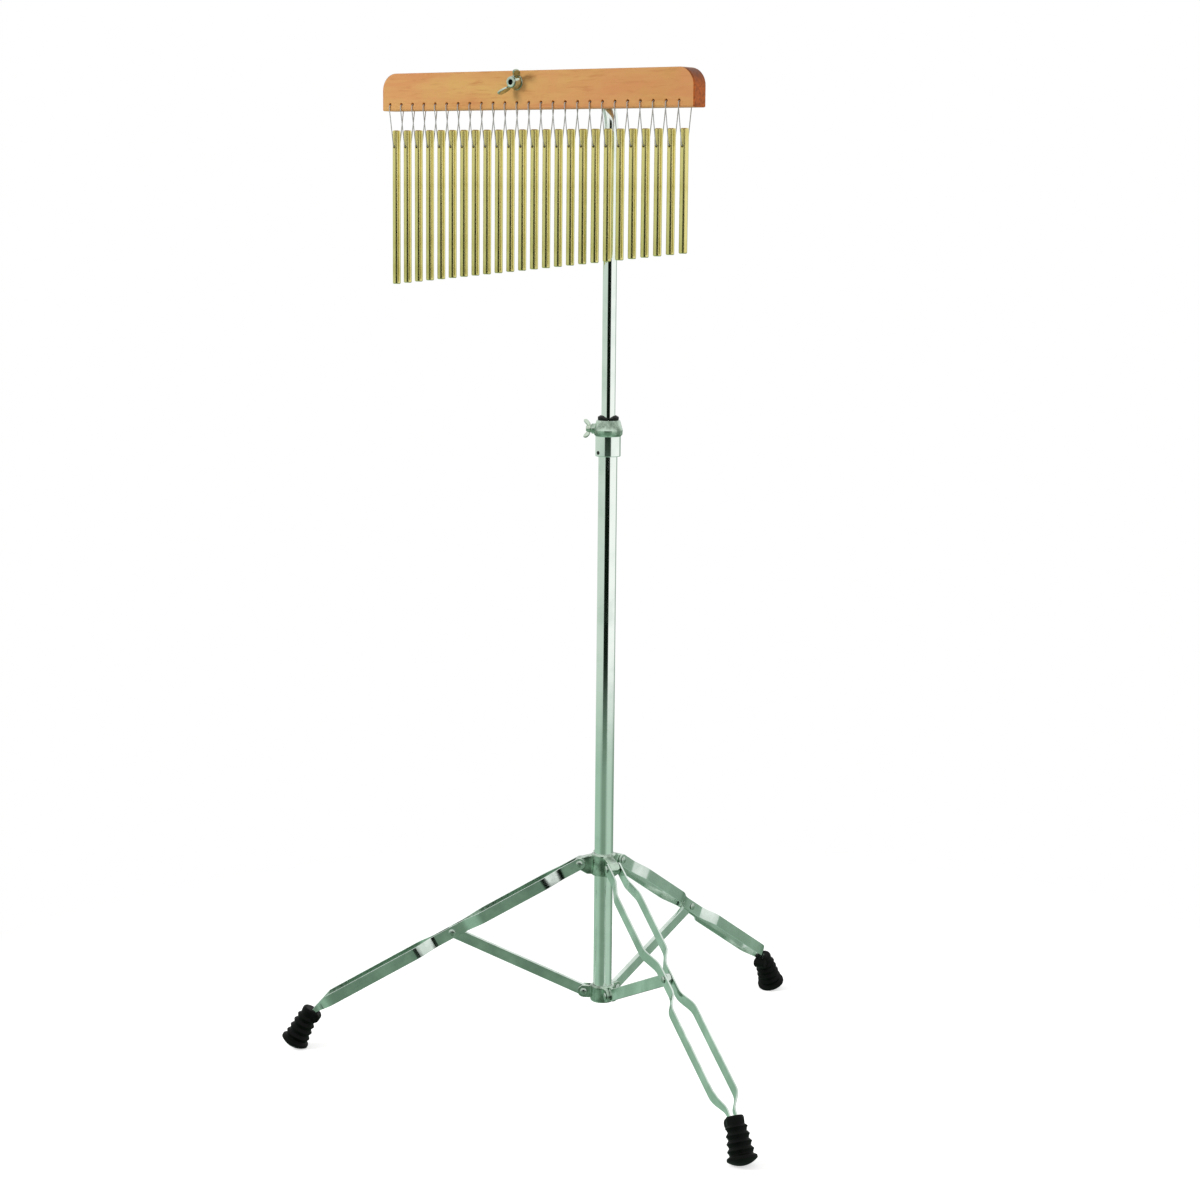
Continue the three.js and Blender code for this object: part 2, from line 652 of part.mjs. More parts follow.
// The side outline of a lug, round about the pivot and tapering down to the collar's foot
function lugOutline() {
  const round = COLLAR_LUG_ROUND / 2;
  const shape = new THREE.Shape();
  const foot = collarBottom + COLLAR_LUG_ABOVE_BOTTOM;
  const head = collarTop - COLLAR_LUG_BELOW_TOP;
  shape.moveTo(0, foot);
  shape.lineTo(COLLAR_DIAMETER / 2 + COLLAR_LUG_FOOT, foot);
  shape.absarc(LEG_PIVOT_RADIUS, legPivotHeight, round, -Math.PI / 4, Math.PI / 2);
  shape.lineTo(COLLAR_DIAMETER / 2, head);
  shape.lineTo(0, head);
  return shape;
}

function legCollar() {
  const radius = COLLAR_DIAMETER / 2;
  const body = turned([
    [0, collarBottom],
    [radius - COLLAR_EDGE, collarBottom],
    [radius, collarBottom + COLLAR_EDGE],
    [radius, collarTop - COLLAR_EDGE],
    [radius - COLLAR_EDGE, collarTop],
    [0, collarTop],
  ], TUBE_SIDES);
  const boss = bossX(COLLAR_BOSS_DIAMETER, COLLAR_BOSS_REACH, collarScrewZ);
  const lugs = LEG_NAMES.map((_, k) => {
    const half = COLLAR_LUG_WIDTH / 2;
    return plateXZ(lugOutline(), -half, half, 3).rotateZ(radians(legAngle(k)));
  });
  const rivetHoles = LEG_NAMES.map((_, k) => {
    const hole = new THREE.CylinderGeometry(
      RIVET_DIAMETER / 2 + GAP, RIVET_DIAMETER / 2 + GAP, 2 * COLLAR_LUG_WIDTH, RIVET_SIDES,
    );
    return hole.translate(LEG_PIVOT_RADIUS, 0, legPivotHeight).rotateZ(radians(legAngle(k)));
  });
  const thread = bossX(WING_BOLT_DIAMETER + 2 * GAP, 2 * COLLAR_BOSS_REACH, collarScrewZ);
  return without(
    joined(body, boss.rotateZ(radians(COLLAR_SCREW_ANGLE)), ...lugs),
    pinZ(collarBore, collarBottom - COLLAR_DIAMETER, collarTop + COLLAR_DIAMETER, TUBE_SIDES),
    thread.rotateZ(radians(COLLAR_SCREW_ANGLE)),
    ...rivetHoles,
  );
}

addPiece(part, 'leg_collar', legCollar(), chrome());
placeWingBolt(
  part, 'collar_wing_bolt', COLLAR_SCREW_ANGLE, COLLAR_BOSS_REACH, LOWER_TUBE_DIAMETER / 2, collarScrewZ, 0,
);

// The bracket closes the tube's lower end and has a fork for each brace
const forkInside = BRACE_WIDTH / 2 + GAP;
const forkOutside = forkInside + FORK_CHEEK;

function baseBracket() {
  const radius = BRACKET_DIAMETER / 2;
  const bottom = LOWER_TUBE_BOTTOM - BRACKET_FLOOR;
  const body = turned([
    [0, bottom],
    [radius - BRACKET_FOOT_EDGE, bottom],
    [radius, bottom + BRACKET_FOOT_EDGE],
    [radius, BRACKET_TOP - BRACKET_TOP_EDGE],
    [radius - BRACKET_TOP_EDGE, BRACKET_TOP],
    [0, BRACKET_TOP],
  ], TUBE_SIDES);
  const forks = [];
  const slots = [];
  LEG_NAMES.forEach((_, k) => {
    const turn = radians(legAngle(k));
    const block = plateXZ(roundEnded(BRACE_PIVOT_RADIUS, FORK_HEIGHT), -forkOutside, forkOutside, 4);
    forks.push(block.translate(0, 0, BRACE_PIVOT_HEIGHT).rotateZ(turn));
    const reach = BRACE_PIVOT_RADIUS + FORK_HEIGHT;
    const slot = box(radius, reach, -forkInside, forkInside, bottom - 1, BRACKET_TOP + 1);
    const hole = new THREE.CylinderGeometry(
      RIVET_DIAMETER / 2 + GAP, RIVET_DIAMETER / 2 + GAP, 4 * forkOutside, RIVET_SIDES,
    );
    slots.push(slot.rotateZ(turn));
    slots.push(hole.translate(BRACE_PIVOT_RADIUS, 0, BRACE_PIVOT_HEIGHT).rotateZ(turn));
  });
  return without(
    joined(body, ...forks),
    pinZ(LOWER_TUBE_DIAMETER + 2 * GAP, LOWER_TUBE_BOTTOM - GAP, BRACKET_TOP + BRACKET_DIAMETER, TUBE_SIDES),
    ...slots,
  );
}

addPiece(part, 'base_bracket', baseBracket(), chrome());

// Half the space between the strips at each pivot sets where the strips lie
const topOffset = COLLAR_LUG_WIDTH / 2 + TURNING_GAP + STRIP_THICKNESS / 2;
const waistOffset = BRACE_WIDTH / 2 + TURNING_GAP + STRIP_THICKNESS / 2;

// The strip's line, as [distance along the leg, distance from its middle plane]
const stripLine = [
  [-STRIP_WIDTH, topOffset],
  [STRIP_TOP_STRAIGHT, topOffset],
  [STRIP_UPPER_BEND, STRIP_WIDE_OFFSET],
  [STRIP_UPPER_WIDE_END, STRIP_WIDE_OFFSET],
  [MID_PIVOT_ALONG_LEG - WAIST_BEFORE_PIVOT, waistOffset],
  [MID_PIVOT_ALONG_LEG + WAIST_AFTER_PIVOT, waistOffset],
  [STRIP_LOWER_BEND, STRIP_WIDE_OFFSET],
  [STRIP_LOWER_WIDE_END, STRIP_WIDE_OFFSET],
  [STRIP_BOTTOM_STRAIGHT, STRIP_END_OFFSET],
  [STRIP_LENGTH + STRIP_WIDTH, STRIP_END_OFFSET],
];

// A band of even thickness along a line of [x, y] pairs, with mitred bends
function band(line, thickness) {
  const sides = [1, -1].map((side) => line.map(([x, y], i) => {
    const before = line[Math.max(i - 1, 0)];
    const after = line[Math.min(i + 1, line.length - 1)];
    const into = i > 0 ? point2(x - before[0], y - before[1]).normalize() : null;
    const out = i < line.length - 1 ? point2(after[0] - x, after[1] - y).normalize() : null;
    const [first, second] = [into ?? out, out ?? into];
    const along = first.clone().add(second).normalize();
    const normal = point2(-along.y, along.x);
    const reach = side * thickness / 2 / normal.dot(point2(-first.y, first.x));
    return point2(x + normal.x * reach, y + normal.y * reach);
  }));
  return new THREE.Shape([...sides[0], ...sides[1].reverse()]);
}

// The side outline of a strip: a round top end, and a nose whose upper edge drops into the foot
function stripOutline(grow) {
  const half = STRIP_WIDTH / 2 + grow;
  const shape = new THREE.Shape();
  shape.moveTo(0, -half);
  shape.lineTo(STRIP_LENGTH + grow, -half);
  shape.lineTo(STRIP_LENGTH + grow, grow - STRIP_WIDTH * 0.22);
  shape.lineTo(STRIP_NOSE + grow, grow - STRIP_WIDTH * 0.1);
  shape.lineTo(STRIP_LOWER_WIDE_END + grow, half);
  shape.lineTo(0, half);
  shape.absarc(0, 0, half, Math.PI / 2, Math.PI * 1.5);
  return shape;
}

// A leg strip, flat bar on edge, bent out between the pivots, along +X from its top pivot
function legStrip(side) {
  const line = stripLine.map(([x, y]) => [x, side * y]);
  const bent = new THREE.ExtrudeGeometry(band(line, STRIP_THICKNESS), { depth: STRIP_WIDTH, bevelEnabled: false });
  bent.translate(0, 0, -STRIP_WIDTH / 2);
  const reach = STRIP_WIDE_OFFSET + 2 * STRIP_THICKNESS;
  const outline = plateXZ(stripOutline(0), -reach, reach, 4);
  const holeRadius = RIVET_DIAMETER / 2 + GAP;
  const holes = [0, MID_PIVOT_ALONG_LEG].map((along) => (
    new THREE.CylinderGeometry(holeRadius, holeRadius, 2 * reach, RIVET_SIDES).translate(along, 0, 0)
  ));
  return without(solidOf(bent).intersect(solidOf(outline)), ...holes);
}

// A rivet along Y whose heads lie on the outer faces at both sides
function rivet(halfSpan) {
  const [shank, head] = [RIVET_DIAMETER / 2, RIVET_HEAD_DIAMETER / 2];
  const under = halfSpan + GAP;
  const top = under + RIVET_HEAD_HEIGHT;
  const pairs = [
    [0, -top],
    [head * 0.6, -top],
    [head, -under - RIVET_HEAD_HEIGHT * 0.4],
    [head, -under],
    [shank, -under],
    [shank, under],
    [head, under],
    [head, under + RIVET_HEAD_HEIGHT * 0.4],
    [head * 0.6, top],
    [0, top],
  ];
  return solidOf(turned(pairs, RIVET_SIDES).rotateX(Math.PI / 2));
}

// A brace is a pressed channel, open below, whose two ends are solid
const midPivotX = LEG_PIVOT_RADIUS + MID_PIVOT_ALONG_LEG * Math.cos(legSlope);
const midPivotZ = legPivotHeight - MID_PIVOT_ALONG_LEG * Math.sin(legSlope);
const braceRun = midPivotX - BRACE_PIVOT_RADIUS;
const braceRise = midPivotZ - BRACE_PIVOT_HEIGHT;
const braceLength = Math.hypot(braceRun, braceRise);

// The collar's slide turns the legs and braces by constant ratios, so between spread and folded each
// middle rivet leaves the end of its brace. The brace is open below along the way that the rivet
// takes, and share says how far the stand is folded.
const braceSlope = Math.atan2(braceRise, braceRun);
const foldedLegSlope = radians(FOLDED_LEG_SLOPE);
const foldedRun = LEG_PIVOT_RADIUS + MID_PIVOT_ALONG_LEG * Math.cos(foldedLegSlope) - BRACE_PIVOT_RADIUS;
const foldedBraceSlope = Math.acos(foldedRun / braceLength);
const foldedPivotHeight = BRACE_PIVOT_HEIGHT + braceLength * Math.sin(foldedBraceSlope)
  + MID_PIVOT_ALONG_LEG * Math.sin(foldedLegSlope);

function rivetPlace(share) {
  const between = (spread, folded) => spread + share * (folded - spread);
  const slope = between(legSlope, foldedLegSlope);
  const run = LEG_PIVOT_RADIUS + MID_PIVOT_ALONG_LEG * Math.cos(slope) - BRACE_PIVOT_RADIUS;
  const rise = between(legPivotHeight, foldedPivotHeight) - MID_PIVOT_ALONG_LEG * Math.sin(slope)
    - BRACE_PIVOT_HEIGHT;
  return new THREE.Vector2(run, rise).rotateAround(new THREE.Vector2(), -between(braceSlope, foldedBraceSlope));
}

function rivetWay(radius) {
  const outward = (share) => {
    const step = 0.5 / RIVET_WAY_STEPS;
    const from = rivetPlace(Math.max(0, share - step));
    const to = rivetPlace(Math.min(1, share + step));
    return to.sub(from).rotateAround(new THREE.Vector2(), Math.PI / 2).angle();
  };
  const beside = (share, angle) => (
    rivetPlace(share).add(new THREE.Vector2(radius * Math.cos(angle), radius * Math.sin(angle)))
  );
  const points = [];
  for (let k = 0; k <= RIVET_WAY_STEPS; k += 1) {
    points.push(beside(k / RIVET_WAY_STEPS, outward(k / RIVET_WAY_STEPS)));
  }
  const [last, first] = [outward(1), outward(0) - 2 * Math.PI];
  for (let k = 1; k < RIVET_WAY_ARC_STEPS; k += 1) {
    points.push(beside(1, last + (first - last) * k / RIVET_WAY_ARC_STEPS));
  }
  return new THREE.Shape(points);
}

function brace() {
  const bar = plateXZ(roundEnded(braceLength, BRACE_HEIGHT), -BRACE_WIDTH / 2, BRACE_WIDTH / 2, 4);
  const inside = BRACE_WIDTH / 2 - BRACE_WALL;
  const channel = box(
    BRACE_SOLID_END, braceLength - BRACE_SOLID_END,
    -inside, inside,
    -BRACE_HEIGHT, BRACE_HEIGHT / 2 - BRACE_WALL,
  );
  const holeRadius = RIVET_DIAMETER / 2 + TURNING_GAP;
  const hole = new THREE.CylinderGeometry(holeRadius, holeRadius, 4 * BRACE_WIDTH, RIVET_SIDES);
  const way = plateXZ(rivetWay(holeRadius), -BRACE_WIDTH, BRACE_WIDTH);
  return without(solidOf(bar), channel, hole, way);
}

// A ribbed rubber bell leans outward and stands on its rounded sole, which is flat where it meets
// the floor. The strips' noses fit in two slots in its neck, which has a pocket under them.
function bellProfile() {
  const base = FOOT_BASE_DIAMETER / 2;
  const shoulder = FOOT_SHOULDER_DIAMETER / 2;
  const neck = FOOT_NECK_DIAMETER / 2;
  const rim = base + FOOT_FLANGE;
  const soleRadius = (rim ** 2 + FOOT_SOLE_DEPTH ** 2) / (2 * FOOT_SOLE_DEPTH);
  const soleHalfAngle = Math.asin(rim / soleRadius);
  const pitch = (FOOT_SHOULDER_HEIGHT - FOOT_FLANGE_HEIGHT) / FOOT_RIBS;
  const radiusAt = (a) => base + (shoulder - base) * Math.max(0, a) / FOOT_SHOULDER_HEIGHT;
  const pairs = [];
  for (let k = 0; k <= FOOT_SOLE_STEPS; k += 1) {
    const turn = soleHalfAngle * k / FOOT_SOLE_STEPS;
    pairs.push([soleRadius * Math.sin(turn), soleRadius * (1 - Math.cos(turn)) - FOOT_SOLE_DEPTH]);
  }
  pairs.push([rim, FOOT_FLANGE_HEIGHT]);
  for (let k = 0; k < FOOT_RIBS; k += 1) {
    const a = FOOT_FLANGE_HEIGHT + (k + 0.35) * pitch;
    pairs.push([radiusAt(a) - FOOT_RIB_DEPTH, a]);
    pairs.push([radiusAt(a + pitch * 0.5), a + pitch * 0.5]);
  }
  pairs.push([neck, FOOT_SHOULDER_HEIGHT + FOOT_NECK_EDGE]);
  pairs.push([neck, FOOT_NECK_TOP - FOOT_NECK_EDGE]);
  pairs.push([neck - FOOT_NECK_EDGE, FOOT_NECK_TOP]);
  pairs.push([0, FOOT_NECK_TOP]);
  return pairs;
}

function foot() {
  const bell = turned(bellProfile(), FOOT_SIDES);
  const halfPocket = FOOT_POCKET_WIDTH / 2;
  const pocket = plateXZ(disc(FOOT_POCKET_DIAMETER), -halfPocket, halfPocket);
  pocket.translate(-FOOT_POCKET_OFFSET, 0, FOOT_POCKET_HEIGHT);
  for (const form of [bell, pocket]) {
    form.rotateY(-lean).translate(footRadius, 0, FOOT_HEIGHT_OF_BASE);
  }
  const size = 2 * FOOT_BASE_DIAMETER;
  const floor = box(-size, size, -size, size, -size, 0).translate(footRadius, 0, 0);
  const slots = [1, -1].map((side) => {
    const [from, to] = [STRIP_END_OFFSET - STRIP_THICKNESS / 2 - GAP, STRIP_END_OFFSET + STRIP_THICKNESS / 2 + GAP];
    const slot = plateXZ(stripOutline(GAP), Math.min(side * from, side * to), Math.max(side * from, side * to), 4);
    return slot.rotateY(legSlope).translate(LEG_PIVOT_RADIUS, 0, legPivotHeight);
  });
  return without(joined(bell, pocket), floor, ...slots);
}

// Each leg with its strips, foot, brace and three rivets
LEG_NAMES.forEach((name, k) => {
  const plane = new THREE.Group();
  plane.rotation.z = radians(legAngle(k));
  part.add(plane);

  const leg = new THREE.Group();
  leg.position.set(LEG_PIVOT_RADIUS, 0, legPivotHeight);
  leg.rotation.y = legSlope;
  plane.add(leg);
  addPiece(leg, `leg_${name}_strip_a`, legStrip(1), chrome());
  addPiece(leg, `leg_${name}_strip_b`, legStrip(-1), chrome());
  addPiece(leg, `leg_${name}_top_rivet`, rivet(topOffset + STRIP_THICKNESS / 2), chrome());
  const midRivet = addPiece(leg, `leg_${name}_mid_rivet`, rivet(waistOffset + STRIP_THICKNESS / 2), chrome());
  midRivet.position.x = MID_PIVOT_ALONG_LEG;

  const strut = new THREE.Group();
  strut.position.set(BRACE_PIVOT_RADIUS, 0, BRACE_PIVOT_HEIGHT);
  strut.rotation.y = -Math.atan2(braceRise, braceRun);
  plane.add(strut);
  addPiece(strut, `brace_${name}`, brace(), chrome());
  addPiece(strut, `brace_${name}_rivet`, rivet(forkOutside), chrome());

  addPiece(plane, `foot_${name}`, foot(), blackRubber());
});

// The origin is on the floor, under the middle of the whole object
part.updateMatrixWorld(true);
const extent = new THREE.Box3().setFromObject(part, true);
const middle = extent.getCenter(point3(0, 0, 0));
part.position.set(-middle.x, -middle.y, -extent.min.z);

export default part;
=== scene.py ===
"""Bar chimes on a folding tripod stand: the looks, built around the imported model.

Lengths are in metres. The stand's tube is upright, and the row of chimes runs along X with its
front facing -Y. Each piece is made about its own origin and then set where the frame says.
"""

import json
from math import asin, atan2, ceil, cos, hypot, pi, radians, sin, tan

import bmesh
import bpy
from bpy.props import FloatProperty, FloatVectorProperty, IntProperty, PointerProperty
from mathutils import Matrix, Vector


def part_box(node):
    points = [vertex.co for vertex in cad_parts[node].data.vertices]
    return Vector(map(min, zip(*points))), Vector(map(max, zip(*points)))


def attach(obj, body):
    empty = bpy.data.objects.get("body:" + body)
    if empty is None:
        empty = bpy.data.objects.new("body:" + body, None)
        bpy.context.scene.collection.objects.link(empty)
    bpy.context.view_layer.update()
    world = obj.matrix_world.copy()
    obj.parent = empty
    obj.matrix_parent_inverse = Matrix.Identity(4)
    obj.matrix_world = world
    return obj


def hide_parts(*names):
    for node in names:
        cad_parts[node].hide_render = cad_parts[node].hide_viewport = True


bl_info = {
    "name": "Bar Chimes with Stand",
    "version": (1, 0, 0),
    "blender": (4, 5, 0),
    "location": "View3D > Sidebar > Bar Chimes",
    "description": "Builds a row of bar chimes on a folding tripod stand",
    "category": "Add Mesh",
}

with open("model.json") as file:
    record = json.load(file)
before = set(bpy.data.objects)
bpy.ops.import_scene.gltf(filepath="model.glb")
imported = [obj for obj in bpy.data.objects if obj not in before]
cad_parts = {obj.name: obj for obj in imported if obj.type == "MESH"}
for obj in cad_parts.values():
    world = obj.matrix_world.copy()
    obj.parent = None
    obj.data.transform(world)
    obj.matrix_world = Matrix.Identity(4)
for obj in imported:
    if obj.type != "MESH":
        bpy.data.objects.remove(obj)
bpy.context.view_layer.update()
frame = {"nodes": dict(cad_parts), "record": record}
MM = 0.001
RECORD = frame["record"]
BODY_OF = {node: body for body, nodes in RECORD["behaviour"]["bodies"].items() for node in nodes}
LEG_ANGLES = {"right": -30.0, "back": 90.0, "left": 210.0}
GAP = 0.3 * MM
ARC_STEP = radians(9)
SENSOR_WIDTH = 36.0

# A pin stands on Z: these lay it along X, or along Y with its top towards the front
ALONG_X = Matrix.Rotation(pi / 2, 4, "Y")
ALONG_Y = Matrix.Rotation(pi / 2, 4, "X")

# The sockets of a colour mix node
MIX_FIRST, MIX_SECOND, MIX_RESULT = 6, 7, 2

# Where the reflected studio changes, as (start, end) in degrees. Bearings are counted to the
# right from the way to the camera, and rises up from the level
LEFT_WALL_TO_RIGHT = (-6.0, 30.0)
RIGHT_WALL_TO_BACK = (118.0, 134.0)
DARK_STARTS = (-34.0, -26.0)
DARK_ENDS = (24.0, 31.0)
TALL_DARK_ENDS = (2.0, 12.0)
LOW_LEFT_TO_FRONT = (-70.0, -20.0)
LOW_FRONT_TO_RIGHT = (5.0, 45.0)
LOW_RIGHT_TO_BACK = (80.0, 130.0)
RISE_OF_WALL = (-13.5, -9.0)
RISE_OF_CEILING = (0.8, 2.2)
TALL_DARK = 6.5
BACK_SHARE = 0.8

# Each lamp's name, the setting of its power, its place and its width
LAMPS = (
    ("key_lamp", "key_light", (-1.9, -2.6, 2.2), 1.2),
    ("fill_lamp", "fill_light", (2.6, -0.6, 1.6), 2.0),
)
LAMP_AIM = Vector((0, 0, 0.65))
FLOOR_HALF = 9.0
FLOOR_FADE = (0.5, 1.0)

# The bar's grain leans a little, and is packed more finely across the bar than along it
GRAIN_LEAN = (radians(4), radians(1.2), radians(1.5))
GRAIN_PACKING = (3.0, 26.0, 26.0)
PORE_STRETCH = (0.03, 1.0, 1.0)

# How far a face of the bar turns to its end while the stain sets in, and the heights in metres
# between which the ends darken towards the top
FACES_END = (0.1, 0.4)
END_DARKENS_UPWARD = (0.022, 0.042)


def middle(node):
    """The middle of a CAD node's box."""
    low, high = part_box(node)
    return (low + high) / 2


def extent(node):
    """The lengths of a CAD node's box."""
    low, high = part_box(node)
    return high - low


AXIS = Vector((middle("lower_tube").x, middle("lower_tube").y, 0))
CHIMES = sorted(node for node in frame["nodes"] if node.startswith("chime_"))


def size(name, description, millimetres):
    """A length that a user can change."""
    return FloatProperty(
        name=name, description=description, default=millimetres * MM, min=0.0, unit="LENGTH", precision=4
    )


def angle(name, description, turn):
    """An angle that a user can change, given in degrees."""
    return FloatProperty(name=name, description=description, default=radians(turn), subtype="ANGLE")


def count(name, description, number):
    """A whole number that a user can change."""
    return IntProperty(name=name, description=description, default=number, min=3)


def share(name, description, value):
    """A number from 0 to 1."""
    return FloatProperty(
        name=name, description=description, default=value, min=0.0, max=1.0, subtype="FACTOR"
    )


def linear(channel):
    """The linear value of one sRGB channel from 0 to 255."""
    c = channel / 255
    return c / 12.92 if c <= 0.04045 else ((c + 0.055) / 1.055) ** 2.4


def colour(name, description, red, green, blue):
    """A colour that a user can change, given in sRGB from 0 to 255."""
    return FloatVectorProperty(
        name=name,
        description=description,
        subtype="COLOR",
        size=3,
        min=0.0,
        max=1.0,
        default=(linear(red), linear(green), linear(blue)),
    )


class ChimeRodSettings(bpy.types.PropertyGroup):
    hole: size("Cross hole", "Diameter of the hole that the cord runs through", 3.0)
    hole_below_top: size("Hole below top", "From a rod's top to its cross hole", 19.5)
    hole_flare: size("Hole flare", "Rounding where the cross hole meets the rod", 0.45)
    edge: size("End chamfer", "Chamfer of a rod's ends", 0.9)
    sides: count("Sides", "Sides of a rod", 48)
    bright: colour("Gold", "The polished gold finish", 232, 220, 148)
    dull: colour("Handled gold", "The gold where it has been handled", 204, 191, 112)


class WoodBarSettings(bpy.types.PropertyGroup):
    corner: size("Corner radius", "Radius of the bar's upper corners", 20.0)
    foot: size("Foot radius", "Radius of the bar's lower corners", 1.6)
    edge: size("Edge rounding", "Rounding along the front and back faces", 1.7)
    cord_hole: size("Cord hole", "Diameter of a cord hole", 3.4)
    cord_hole_height: size("Cord hole height", "From the bar's underside to a cord hole", 7.5)
    hole_flare: size("Hole flare", "Chamfer at a hole's mouth", 0.5)
    bolt_hole: size("Bolt hole", "Diameter of the bolt's hole", 6.7)
    pale: colour("Pale grain", "The lighter bands of the grain", 214, 172, 102)
    tan: colour("Tan grain", "The wood's main colour", 208, 150, 90)
    rosy: colour("Rosy grain", "Where the wood is redder", 216, 140, 98)
    streak: colour("Dark grain", "The darker lines of the grain", 184, 118, 60)
    end_grain: colour("End grain", "The stained ends of the bar", 214, 112, 44)
    hole_colour: colour("Hole", "The raw wood inside the holes", 236, 160, 78)


class CordSettings(bpy.types.PropertyGroup):
    diameter: size("Cord", "Diameter of the laced cord", 1.1)
    lay: size("Lay", "Length of one turn of the cord's strands", 2.6)
    knot: size("Knot", "Diameter of the end knots", 4.0)
    run_below_hole: size("Run below hole", "From a hole's lip down to the run behind the bar", 1.6)
    sides: count("Sides", "Sides of the cord", 10)
    pale: colour("Cord", "The cord's strands", 198, 200, 197)
    # The grooves' darker colour is painted shade between the strands
    shade: colour("Cord grooves", "Between the cord's strands", 138, 142, 139)


class BoltSettings(bpy.types.PropertyGroup):
    bolt: size("Bolt", "Diameter of the bolt", 6.0)
    pitch: size("Thread pitch", "From one thread crest to the next", 1.0)
    thread: size("Thread depth", "Depth of the thread", 0.45)
    head: size("Head", "Diameter of the bolt's head", 14.0)
    head_height: size("Head height", "Height of the bolt's head", 3.5)
    washer_edge: size("Washer edge", "Rounding of the washer", 0.35)
    hub: size("Nut hub", "Diameter of the wing nut's hub", 17.0)
    hub_length: size("Nut hub length", "Length of the wing nut's hub", 10.0)
    recess: size("Nut recess", "Diameter of the hollow in the hub's face", 13.0)
    recess_depth: size("Nut recess depth", "Depth of the hollow in the hub's face", 5.0)
    span: size("Wing span", "From tip to tip of the wing nut", 38.0)
    height: size("Wing height", "Height of the wing nut's wings", 19.0)
    turn: angle("Wing turn", "How far the wing nut is turned", 47.0)
    screw_hub: size("Screw hub", "Diameter of a wing screw's hub", 9.0)
    screw_hub_length: size("Screw hub length", "Length of a wing screw's hub", 6.0)
    screw_span: size("Screw span", "From tip to tip of a wing screw", 22.0)
    screw_height: size("Screw height", "Height of a wing screw's wings", 9.0)
    clamp_turn: angle("Clamp wings", "How far the clamp's wing screw is turned", 12.0)
    wing: size("Wing thickness", "Thickness of a wing", 2.6)
    voxel: size("Casting grain", "Fineness of the cast surfaces", 0.34)
    # The slight green tint of these colours is partly painted reflection of the studio's green cast
    plate: colour("Screw plating", "The plating of the nut and screws", 206, 222, 206)
    worn: colour("Screw wear", "Where the plating is dull", 150, 160, 140)
    # Near black: the own colour of the oiled thread and the sleeve's rivet, and painted shade on the faces of
    # the nut's hollow
    dark_steel_and_hollow_shade: colour("Thread steel", "The oiled thread and the hollow of the nut", 24, 30, 24)
    thread_worn: colour("Thread wear", "Where the thread's oil has gone", 58, 64, 54)


class TubeSettings(bpy.types.PropertyGroup):
    upper: size("Upper tube", "Diameter of the upper tube", 16.0)
    lower: size("Lower tube", "Diameter of the lower tube", 22.0)
    wall: size("Wall", "Wall of both tubes", 1.2)
    rim: size("Rim rounding", "Rounding of the tubes' ends", 0.35)
    bend: size("Arm bend", "Radius of the bend into the side arm", 48.0)
    arm_height: size("Arm height", "Height of the side arm", 1158.0)
    arm_reach: size("Arm reach", "From the upright to the bar's bolt", 111.0)
    past_bolt: size("Past the bolt", "How far the arm goes past the bolt", 15.0)
    saddle: size("Saddle", "Diameter of the saddle between arm and bar", 22.0)
    sides: count("Sides", "Sides of the tubes", 96)
    # The slight green tint of these colours is partly painted reflection of the studio's green cast
    chrome: colour("Chrome", "The tubes' bright chrome", 242, 249, 243)
    film: colour("Chrome film", "Chrome where it was wiped", 222, 233, 225)


class ClampSettings(bpy.types.PropertyGroup):
    sleeve: size("Sleeve", "Diameter of the clamp's sleeve", 29.5)
    head: size("Head", "Diameter of the clamp's head", 34.0)
    head_from: size("Head from", "Height where the head starts", 756.0)
    neck: size("Neck", "Diameter of the clamp's top", 27.0)
    boss: size("Boss", "Diameter of the screw's boss", 12.0)
    boss_reach: size("Boss reach", "From the axis to the boss's face", 19.5)
    boss_angle: angle("Boss angle", "Where the boss points", 210.0)
    screw_share: share("Screw height", "The screw's place in the head's height", 0.4)
    bushing: size("Bushing", "Diameter of the bushing in the clamp", 21.0)
    rim: size("Rim", "Diameter of the bushing's rim", 24.5)
    rim_height: size("Rim height", "Height of the bushing's rim", 5.0)
    rim_dip: size("Rim dip", "How far the rim dips at its slit", 2.6)
    dip_spread: angle("Dip spread", "How far to both sides of the slit the rim dips", 62.0)
    slit: size("Slit", "Width of the bushing's slit", 2.4)
    slit_angle: angle("Slit angle", "Where the bushing is slit", -54.0)
    rivet: size("Sleeve rivet", "Diameter of the rivet in the sleeve", 4.6)
    rivet_angle: angle("Sleeve rivet angle", "Where the rivet sits in the sleeve", -105.0)
    rivet_height: size("Sleeve rivet height", "Height of the rivet in the sleeve", 735.5)
    # The slight green tint of these colours is partly painted reflection of the studio's green cast
    cast: colour("Cast chrome", "The plated castings", 200, 220, 203)
    pit: colour("Cast hollows", "The hollows of the castings", 96, 116, 99)
    plastic: colour("Black plastic", "The bushing and the saddle", 6, 8, 6)
    plastic_worn: colour("Worn plastic", "Black plastic where it rubs", 26, 30, 27)


